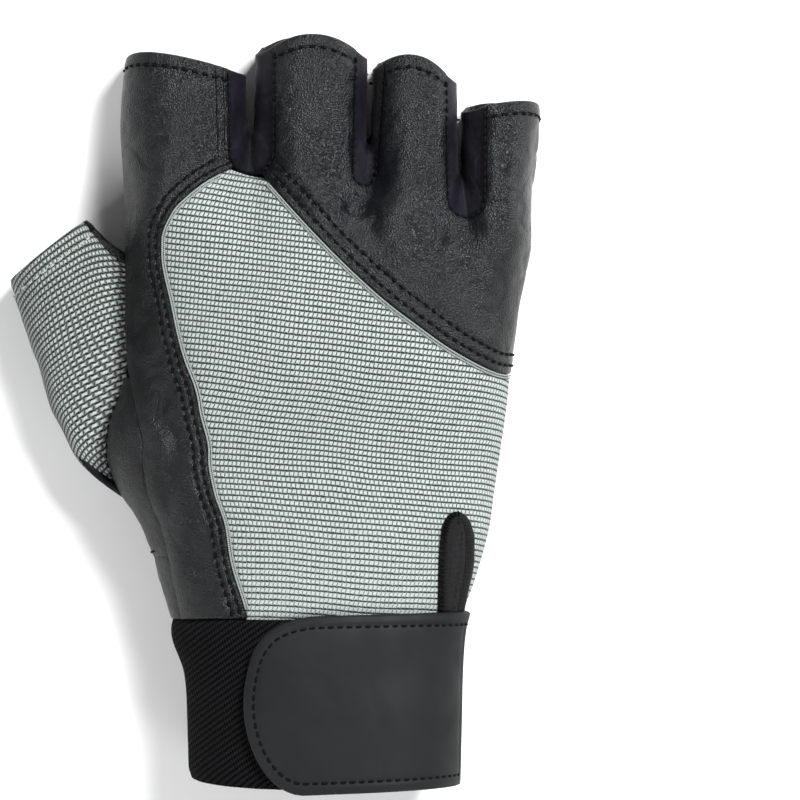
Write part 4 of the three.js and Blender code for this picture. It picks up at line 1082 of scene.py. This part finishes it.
def thenar_leather():
    columns, side, lower, strip = np.array([7, 3, 4, 5]) * SUEDE_FINE
    tip, opening = along_y(THENAR_TOP), along_y(THUMB_OPENING[0]) - 0.1
    corner = passing(thenar_seam, 3)
    top = seam([
        *(suede_edge[:4][::-1] - (0, 2 * SEAM_HALF)), palm_left(np.array(along_y(0.305)), 0.3),
        (3.0, opening),
    ])
    q, side_shares = even_shares(lower), even_shares(side)[1:]
    strip_y = mix(opening, tip, even_shares(strip)[1:])
    places = np.zeros((columns + side + 1, lower + strip + 1, 2))
    foot = beside(thenar_seam, mix(0.02, corner, even_shares(columns)), SEAM_HALF)
    roof = top(mix(0.01, 1, even_shares(columns)))
    places[:columns + 1, :lower + 1] = mix(foot[:, None], roof[:, None], q[None, :, None])
    places[:columns + 1, lower + 1:, 0] = 3
    places[:columns + 1, lower + 1:, 1] = strip_y
    foot = beside(thenar_seam, mix(corner, 0.995, side_shares), SEAM_HALF)
    y = np.concatenate([mix(foot[:, 1][:, None], opening, q[None]), np.tile(strip_y, (side, 1))], 1)
    places[columns + 1:, :, 0] = mix(3, 4 + fold(y, -SEAM_HALF)[..., 0], side_shares[:, None])
    places[columns + 1:, :, 1] = y
    keep = np.ones((columns + side, lower + strip), bool)
    keep[:columns, lower:] = False
    return *split(places), keep


def thumb_side_pad():
    ends = np.array([suede_edge[0, 1] + 3, pad_arc(0)[1] - 2 * SEAM_HALF])
    q = even_shares(56)
    right, top = [
        beside(pad_arc, np.clip(mix(*span, q), 0.02, 1), SEAM_HALF + PAD_GAP)
        for span in ((0.985, PAD_ARC_CORNER), (PAD_ARC_CORNER, 0.02))
    ]
    last = palm_left(mix(*ends, q), -3)
    bottom = seam(suede_edge[:5][::-1])(q) + (0, 2.5)
    bottom[0], bottom[-1], top[-1] = right[0], last[0], last[-1]
    return split(coons(bottom, top, right, last))


def outer_pad():
    s = mix(0.01, 0.99, even_shares(128))
    inside = beside(pad_arc, s, -SEAM_HALF - PAD_GAP)
    return split(mix(inside[None], outer_edge(s)[None], even_shares(40)[:, None, None]))


def strap_places(columns, rows):
    """The strap from its rounded free end to its sewn end, and up from its lower edge."""
    q = 0.5 - 0.5 * np.cos(even_shares(rows) * math.pi)
    corner = np.where(q < 0.5, *STRAP_CORNERS)
    rounding = corner * (1 - np.sqrt(np.maximum(0, 1 - (2 * q - 1) ** 2)))
    left = back_turn(STRAP_SEWN - STRAP_LENGTH + rounding, np.full(rows + 1, CUFF_SEAM - STRAP_HEIGHT / 2))
    s = even_shares(columns)[:, None]
    tilt = mix(*STRAP_SLOPES, q[None]) * STRAP_LENGTH * (1 - s)
    top = CUFF_SEAM + STRAP_RISE
    return mix(left[None], STRAP_RIGHT, s), mix(top - STRAP_HEIGHT, top, q[None]) - tilt


def slit_line(share):
    """The middle of the slit's binding: up its left leg, over its top and down its right leg."""
    x, y = np.array(SLIT_LINE).T
    at = even_shares(len(x) - 1)
    return stacked(track(at, x)(share), track(at, y)(share))


def binding_places(steps, across):
    share = even_shares(steps)
    spots = slit_line(share)
    heading = unit(slit_line(np.minimum(1, share + 0.02)) - slit_line(np.maximum(0, share - 0.02)))
    aside = stacked(-heading[:, 1], heading[:, 0])
    off = mix(BINDING_WIDTH / 2, -BINDING_WIDTH / 2, even_shares(across))
    spots = spots[:, None] + aside[:, None] * off[None, :, None]
    return back_turn(spots[..., 0], spots[..., 1])[::-1], spots[::-1, :, 1]


def gusset_places(columns, rows):
    up = np.linspace(0, SLIT_TOP - 0.03, rows + 1)
    left = slit_line(up)
    right = slit_line(1 - up / SLIT_TOP * (1 - SLIT_TOP))
    spots = mix(left[None], right[None], even_shares(columns)[:, None, None])
    return back_turn(spots[..., 0], spots[..., 1]), spots[..., 1]


def lay(obj, points, normals):
    """Points moved along their normals onto an object's outer side, in millimetres."""
    tree = BVHTree.FromPolygons([v.co for v in obj.data.vertices], [p.vertices for p in obj.data.polygons])
    laid = np.array(points, float)
    for n, (point, normal) in enumerate(zip(points, normals)):
        start = Vector(((point + normal * 8) * MM).tolist())
        hit = tree.ray_cast(start, Vector((-normal).tolist()), 12 * MM)[0]
        if hit is not None:
            laid[n] = np.array(hit) / MM
    return laid


def along_line(points, length, at):
    return stacked(*[np.interp(at, length, part) for part in points.T])


# A stitch along its length: the share of it, its thickness and its height above the cloth, to its radius
STITCH_SHARE = np.array([-0.5, -0.42, -0.25, 0, 0.25, 0.42, 0.5])
STITCH_THICKNESS = np.array([0.45, 0.8, 1, 1.05, 1, 0.8, 0.45])
STITCH_HEIGHT = np.array([-1.1, -0.35, 0.35, 0.55, 0.35, -0.35, -1.1])
STITCH_SIDES = 6


def stitches(name, rows, material, slot_name, pitch=2.5, size=1.75, radius=0.33, sink=0.1):
    """Thread in small stitches along rows of (points, normals), their ends going down into the cloth."""
    vertices, faces, uvs = [], [], []
    sections = len(STITCH_SHARE)
    for points, normals in rows:
        length = travelled(points)
        count = max(1, int(length[-1] / pitch))
        for n in range(count):
            centre = (n + 0.5) * length[-1] / count
            at = centre + STITCH_SHARE * size * (1 + 0.08 * math.sin(n * 2.3))
            spine = along_line(points, length, at)
            up = unit(along_line(normals, length, at))
            aside = unit(np.cross(unit(spine[-1] - spine[0]), up))
            spine = spine + up * ((STITCH_HEIGHT - sink / 2) * radius)[:, None]
            thread = rings(spine, radius * STITCH_THICKNESS, aside, up, STITCH_SIDES)
            faces += ring_faces(sections, STITCH_SIDES, len(vertices) * (len(thread) + 2))
            vertices.append(np.concatenate([thread, spine[:1], spine[-1:]]))
            along = np.append(np.repeat(STITCH_SHARE * size, STITCH_SIDES), [0, 0])
            uvs.append(stacked(along, 0 * along))
    vertices = np.concatenate(vertices)
    vertices[:, 2] = np.maximum(vertices[:, 2], THREAD_FLOOR)
    declare(new_object(name, vertices, faces, [material], np.concatenate(uvs)), slot_name)


def row_at(turn, y, obj=None, lift=0.0):
    """A row of (points, normals) at places on the skin, on an object's outer side where one is given."""
    points, normals = skin(turn, y), normals_of(skin, turn, y)
    if obj is not None:
        points = lay(obj, points, normals)
    return points + normals * np.asarray(lift)[..., None], normals


def seam_rows(obj, line, *rows):
    """Rows beside a seam, laid on an object, each given as its start, its stop and its distance."""
    return [
        row_at(*split(beside(line, np.linspace(start, stop, 300), distance)), obj)
        for start, stop, distance in rows
    ]


def grid_row(obj, panel, lines, distance, from_end=True):
    """A row at a distance in from the ends of a panel's grid lines, laid on an object."""
    points, normals = [], []
    way = slice(None, None, -1 if from_end else 1)
    for line in lines:
        run = panel.points[line][way]
        length = travelled(run)
        points.append(along_line(run, length, distance))
        normals.append(along_line(panel.normals[line][way], length, distance))
    normals = unit(np.array(normals))
    return lay(obj, np.array(points), normals), normals


def border_row(obj, panel, distance, start):
    """A row along a strap's upper edge, round its free end and back along its lower edge, laid on it."""
    points, normals = [
        np.concatenate([values[::-1, -1], values[0, -2:0:-1], values[:, 0]])
        for values in (panel.points, panel.normals)
    ]
    length = travelled(points)
    at = np.linspace(start, length[-1] - start, 500)
    points, normals = along_line(points, length, at), unit(along_line(normals, length, at))
    heading = unit(np.gradient(points, axis=0))
    for _ in range(6):
        heading[1:-1] = unit(heading[:-2] + heading[1:-1] + heading[2:])
    return lay(obj, points + np.cross(normals, heading) * distance, normals), normals


def cord(name, line, start, stop, distance, radius, lift, node):
    turn, y = split(beside(line, np.linspace(start, stop, 260), distance))
    points, normals = row_at(turn, y, None, lift)
    declare(tube(name, points, radius, PIPING, normals), "piping", node)


def distance_to(panel, lines):
    """Each grid point's distance to the nearest of some lines of points."""
    spots = np.concatenate([np.asarray(line).reshape(-1, 3) for line in lines])
    return distances(spots, panel.points.reshape(-1, 3)).reshape(panel.shape)


def sewn(panel, lines, rows):
    """Distance to a sewn edge, scaled so that its two stitch rows are at 1 and 2."""
    distance = distance_to(panel, lines)
    inner, outer = rows
    return np.where(distance < inner, distance / inner, 1 + (distance - inner) / (outer - inner))


def bell(value, spread):
    return np.exp(-(value / spread) ** 2)


def pillow(seam_value, depth=0.22):
    """The cloth drawn down along two stitch rows at 1 and 2."""
    return -depth * (bell(seam_value - 1, 0.32) + bell(seam_value - 2, 0.32))


def hem_sink(distance, at=HEM_ROW, depth=0.22, spread=0.8):
    return -depth * bell(distance - at, spread)


def waves(panel, lumps, seed, height, margin, octaves=2):
    """Soft waves of the cloth with lumps of a size, dying out in a margin along the edge."""
    return crumple(panel.points, lumps, seed, octaves) * height * smooth(panel.edge, *margin)


def leather_height(panel, seams, hems, rows, seed):
    """The leather's height over the skin, creased and sunk along its stitch rows, and those rows' values."""
    seam_value = sewn(panel, seams, rows)
    hem_distance = distance_to(panel, hems)
    creases = crumple(panel.points, (24, 17, 24), seed, 2)
    creases -= 0.25 * bell(crumple(panel.points, (14, 9, 14), seed + 9, 2), 0.1)
    x, y = panel.points[..., 0], panel.points[..., 1]
    for (mx, my), rise, reach in KNUCKLES:
        creases += rise * bell(np.hypot(x - mx, y - my), reach)
    for (ax, ay), (bx, by), fall in VALLEYS:
        length = math.hypot(bx - ax, by - ay)
        share = np.clip(((x - ax) * (bx - ax) + (y - ay) * (by - ay)) / length ** 2, 0, 1)
        off = np.hypot(x - mix(ax, bx, share), y - mix(ay, by, share))
        creases -= fall * (1 - 0.6 * share) * bell(off, VALLEY_REACH)
    creases *= smooth(panel.edge, 1.5, 8)
    height = 0.3 + panel.puff(0.25, 0.12) + creases + pillow(seam_value) + hem_sink(hem_distance)
    return height, {"sewn": seam_value, "hem": hem_distance}


def finger_columns(cells, gap, fine):
    """The grid columns of each finger in a panel, from its cells and the gap between fingers."""
    starts = np.cumsum([0] + [count + gap for count in cells]) * fine
    return [range(start, start + count * fine + 1) for start, count in zip(starts, cells)]


def tops(panel, columns):
    return [panel.points[list(part), -1] for part in columns]


def line_points(line):
    return skin(*split(line(np.linspace(0, 1, 500))))


panel = index_panel = Panel(*index_leather())
height, values = leather_height(
    panel, [line_points(thumb_side_seam), panel.points[-1, -40:]], [panel.points[:, -1]], INDEX_ROWS, 3.0
)
index_obj = panel.build("index_leather_skin", height, LEATHER_WALL, [LEATHER, LINING], values=values)
declare(index_obj, "leather", "index_leather")

panel = knuckle_panel = Panel(*knuckle_leather())
knuckle_columns = finger_columns((4, 4, 6), 4, LEATHER_FINE)
hems = tops(panel, knuckle_columns)
height, values = leather_height(panel, [line_points(diagonal_seam)], hems, LEATHER_ROWS, 11.0)
knuckle_obj = panel.build("knuckle_leather_skin", height, LEATHER_WALL, [LEATHER, LINING], values=values)
declare(knuckle_obj, "leather", "knuckle_leather")

panel = Panel(*back_knit())
height = panel.puff(0.25, 0.5) + waves(panel, (26, 34, 26), 5.0, 0.5, (2, 12))
declare(panel.build("back_knit_cloth", height, KNIT_WALL, [KNIT, LINING]), "knit", "back_knit")

for k, web_name in enumerate(WEB_NAMES):
    surface = side_wall(k)
    travel, down = np.broadcast_arrays(np.linspace(-1, 1, 91)[:, None], even_shares(30)[None])
    points = surface(travel, down)
    length = np.cumsum(np.linalg.norm(np.diff(points, axis=0, prepend=points[:1]), axis=-1), axis=0)
    depth = np.cumsum(np.linalg.norm(np.diff(points, axis=1, prepend=points[:, :1]), axis=-1), axis=1)
    panel = Panel(travel, down, None, False, surface, (0.01, 0.02), (length, depth))
    folds = waves(panel, (6, 9, 20), 20.0 + k, 0.35, (0.5, 4))
    obj = panel.build(f"fourchette_{web_name}_cloth", folds, STRETCH_WALL, [STRETCH, LINING])
    declare(obj, "stretch", f"fourchette_{web_name}")

panel = suede_panel = Panel(*palm_suede())
suede_columns = finger_columns((4, 4, 4, 5), 4, SUEDE_FINE)
hem_distance = distance_to(panel, tops(panel, suede_columns))
height = panel.puff(0.2, 0.2) + waves(panel, (16, 20, 16), 31.0, 0.3, (2, 8)) + hem_sink(hem_distance)
suede_obj = panel.build("palm_suede_skin", height, SUEDE_WALL, [SUEDE, LINING], values={"hem": hem_distance})
declare(suede_obj, "suede", "palm_suede")

for name, places, lumps, seed in (
    ("heel_leather", heel_leather(), (14, 10, 14), 41.0),
    ("thenar_leather", thenar_leather(), (12, 10, 12), 51.0),
):
    panel = Panel(*places)
    height = panel.puff(0.2, 0.1) + waves(panel, lumps, seed, 0.3, (1.5, 6), 3)
    thenar_obj = panel.build(f"{name}_skin", height, LEATHER_WALL, [LEATHER, LINING])
    declare(thenar_obj, "leather", name)

pads = {}
for name, places, edges in (
    ("thumb_side", thumb_side_pad(), [pad_arc]), ("outer", outer_pad(), [pad_arc, outer_edge]),
):
    panel = Panel(*places)
    sunk = sum(pillow(sewn(panel, [line_points(edge)], PAD_ROWS), 0.45) for edge in edges)
    height = PAD_LIFT - 0.1 + panel.puff(0.4, 0.9, 1.6) + sunk
    pads[name] = panel.build(f"palm_pad_{name}_suede", height, PAD_WALL, [PAD_SUEDE], 0.5)
    declare(pads[name], "suede", f"palm_pad_{name}")

THUMB_RADIUS = 12.2
thumb_parts = {}
for name, material, slot_name, start, end, wall in (
    ("thumb_knit", THUMB_KNIT, "knit", *SPLIT, KNIT_WALL),
    ("thumb_leather", LEATHER, "leather", SPLIT[1], 2 + SPLIT[0], LEATHER_WALL),
):
    angles = np.linspace(start + 0.003, end - 0.003, 97)
    angle, down = np.broadcast_arrays(angles[:, None], even_shares(64)[None])
    x, y, _ = np.moveaxis(thumb_surface(angle, down), -1, 0)
    along = x * math.sin(THUMB_LEAN) - y * math.cos(THUMB_LEAN)
    across = x * math.cos(THUMB_LEAN) + y * math.sin(THUMB_LEAN)
    across -= across[:, :1].mean()
    side = np.cos(angle * math.pi)
    along -= 0.3 * down * across + np.where(side < 0, 4.0, 1.5) * (1 - np.sqrt(1 - 0.99 * side ** 2))
    cloth = (angle * math.pi * THUMB_RADIUS, along)
    panel = Panel(angle, down, None, False, thumb_surface, (0.01, 0.01), cloth)
    hem_distance = distance_to(panel, [panel.points[:, 0]])
    height = panel.puff(0.15, 0.2) + waves(panel, (11, 11, 11), 61.0, 0.6, (1.5, 8))
    height += hem_sink(hem_distance, 3.2)
    obj = panel.build(f"{name}_cloth", height, wall, [material, LINING], values={"hem": hem_distance})
    thumb_parts[name] = (declare(obj, slot_name, name), panel)

# The cuff's ribs are measured round it from the back's centre; its depth counts for less, as seen from above
DEPTH_SHARE = 0.4
turn, share = np.broadcast_arrays(np.linspace(0, 4, 257)[:-1, None], even_shares(48)[None])
rim = CUFF_SEAM - CUFF_HEIGHT * mix(0.88, 1, 0.5 + 0.5 * np.cos(turn * HALF_TURN))
y = mix(rim, CUFF_SEAM - SEAM_HALF, share)
folded = np.where(turn > 3.4, turn - 4, turn)
points = skin(folded, y)
moves = np.diff(points, axis=0, prepend=points[:1])
girth = np.cumsum(np.hypot(moves[..., 0], DEPTH_SHARE * moves[..., 2]), axis=0)
closing = points[0] - points[-1]
closing = np.hypot(closing[:, 0], DEPTH_SHARE * closing[:, 2])
girth = np.where(turn > 2, girth - girth[-1:] - closing, girth) + points[:1, :, 0]
panel = Panel(folded, y, around=True, cloth=(girth, y))
declare(panel.build("cuff_elastic", panel.puff(0.3, 0.5), CUFF_WALL, [ELASTIC, LINING]), "elastic", "cuff")

panel = strap_panel = Panel(*strap_places(90, 64))
height = STRAP_WALL + STACK_GAP + panel.puff(0.1, 0.35, 0.8) + hem_sink(panel.edge, STRAP_ROW, 0.18, 0.5)
strap_obj = panel.build("closure_strap_skin", height, STRAP_WALL, [STRAP_LEATHER], 0.3)
declare(strap_obj, "strap", "closure_strap")

panel = Panel(*binding_places(90, 8))
binding = panel.build("slit_binding_tape", 1.7 + panel.puff(0.3, 0.4, 0.8), 1.2, [BINDING], 0.25)
declare(binding, "binding", "slit_binding")
panel = Panel(*gusset_places(24, 50))
fold_line = 0.6 * bell(even_shares(24)[:, None] - 0.72, 0.1)
gusset = panel.build("slit_gusset_mesh", 1.0 + fold_line + 0 * panel.edge, 0.9, [GUSSET], 0.1)
declare(gusset, "binding", "slit_gusset")

for name, line, start, stop in (
    ("knit_piping_side", thumb_side_seam, 0.02, 0.97),
    ("knit_piping_diagonal", diagonal_seam, 0.03, passing(diagonal_seam, 0.99)),
):
    cord(f"{name}_1", line, start, stop, -0.55, 0.22, 0.25, name)
    cord(f"{name}_2", line, start, stop, -1.15, 0.2, 0.25, name)
cord("thenar_piping_cord", thenar_seam, 0.03, 0.66, -1.3, 0.7, 0.75, "thenar_piping")

# Stitches
rows = seam_rows(knuckle_obj, diagonal_seam, *[(0.03, 0.97, distance) for distance in LEATHER_ROWS])
rows += [grid_row(knuckle_obj, knuckle_panel, list(part)[1:-3], HEM_ROW) for part in knuckle_columns]
stitches("knuckle_leather_stitches", rows, DARK_THREAD, "leather")
rows = []
for k in range(3):
    x, y = web_point(k, "back", np.linspace(-0.97, 0.97, 160))
    out = unit(stacked(np.gradient(y), -np.gradient(x)))
    rows.append(row_at(*split(on_back(x - 0.15 * out[:, 0], y - 0.15 * out[:, 1])), None, 0.05))
stitches("fourchette_edge_stitches", rows, EDGE_THREAD, "leather", 2.1, 1.9, 0.34, 0.2)
rows = seam_rows(index_obj, thumb_side_seam, *[(0.01, 0.97, distance) for distance in INDEX_ROWS])
rows.append(grid_row(index_obj, index_panel, range(index_panel.shape[0]), HEM_ROW))
stitches("index_leather_stitches", rows, DARK_THREAD, "leather")
rows = [
    grid_row(suede_obj, suede_panel, part, distance) for part in suede_columns for distance in SUEDE_HEM_ROWS
]
stitches("palm_suede_stitches", rows, DARK_THREAD, "suede")
inner, outer = PAD_ROWS
rows = seam_rows(pads["outer"], pad_arc, (0.03, 0.97, -inner), (0.03, 0.6, -outer))
rows += seam_rows(pads["outer"], outer_edge, (0.03, 0.97, inner), (0.03, 0.5, outer))
stitches("palm_pad_outer_stitches", rows, DARK_THREAD, "suede", 2.4, 1.7, 0.3)
rows = seam_rows(pads["thumb_side"], pad_arc, (0.06, 0.95, inner), (0.06, 0.95, outer))
stitches("palm_pad_thumb_side_stitches", rows, DARK_THREAD, "suede", 2.4, 1.7, 0.3)
y = np.linspace(along_y(THUMB_OPENING[0]) + 3, along_y(THENAR_TOP - 0.01) - 3, 120)
rows = [row_at(sideways(np.full(y.shape, 3.0), y, 2.6)[:, 0], y, thenar_obj)]
rows += seam_rows(thenar_obj, thenar_seam, (0.26, 0.9, 1.6))
stitches("thenar_leather_stitches", rows, DARK_THREAD, "leather", 2.4, 1.7, 0.28)
rows = [border_row(strap_obj, strap_panel, STRAP_ROW, 1.5)]
stitches("closure_strap_stitches", rows, STRAP_THREAD, "strap", 2.3, 1.8, 0.29)
# Stitches across the binding's inner edge, one row each
rows = []
across = even_shares(7)
for share in np.linspace(0.01, 0.5, 24):
    spot, ahead = slit_line(np.array([share, share + 0.01]))
    heading = unit(ahead - spot)
    off = BINDING_WIDTH / 2 + mix(-0.9, 0.45, across)
    places = on_back(spot[0] - heading[1] * off, spot[1] + heading[0] * off)
    rows.append(row_at(*split(places), None, mix(1.9, 1.3, across ** 2)))
stitches("slit_binding_stitches", rows, DARK_THREAD, "binding", 1.6, 1.5, 0.26)
rows = [grid_row(*thumb_parts["thumb_knit"], range(4, 94), 4.0, False)]
stitches("thumb_knit_stitches", rows, PALE_THREAD, "knit", 2.4, 2.0, 0.3)

# Floor, lights and camera
floor = bpy.data.meshes.new("floor")
floor.from_pydata([(-3, -3, 0), (3, -3, 0), (3, 3, 0), (-3, 3, 0)], [], [(0, 1, 2, 3)])
floor = bpy.data.objects.new("floor", floor)
bpy.context.scene.collection.objects.link(floor)
pale = Nodes("pale_floor")
floor.data.materials.append(pale.surface((0.93, 0.93, 0.93, 1), 0.9))

world = bpy.data.worlds.new("studio")
world.use_nodes = True
world.node_tree.nodes["Background"].inputs[0].default_value = (1, 1, 1, 1)
world.node_tree.nodes["Background"].inputs[1].default_value = 0.18
bpy.context.scene.world = world


def area_light(name, place, target, size, power):
    light = bpy.data.lights.new(name, "AREA")
    light.size, light.energy = size, power
    light_object = bpy.data.objects.new(name, light)
    light_object.location = place
    light_object.rotation_euler = (Vector(target) - Vector(place)).to_track_quat("-Z", "Y").to_euler()
    bpy.context.scene.collection.objects.link(light_object)


area_light("key_light", (0.5, 0.58, 0.85), (0, 0, 0), 0.42, 25.0)
area_light("second_light", (-0.62, -0.7, 0.75), (0, 0, 0), 0.6, 10.0)
area_light("fill_light", (0.5, -0.8, 0.6), (0, 0, 0), 0.6, 3.0)

camera = bpy.data.cameras.new("camera")
camera.sensor_width = 36
camera.lens = 396
camera = bpy.data.objects.new("camera", camera)
camera.location = (20.5 * MM, 5 * MM, (2200 + 17) * MM)
camera.rotation_euler = (0, 0, 0)
bpy.context.scene.collection.objects.link(camera)
bpy.context.scene.camera = camera
bpy.context.scene.view_settings.view_transform = "Standard"
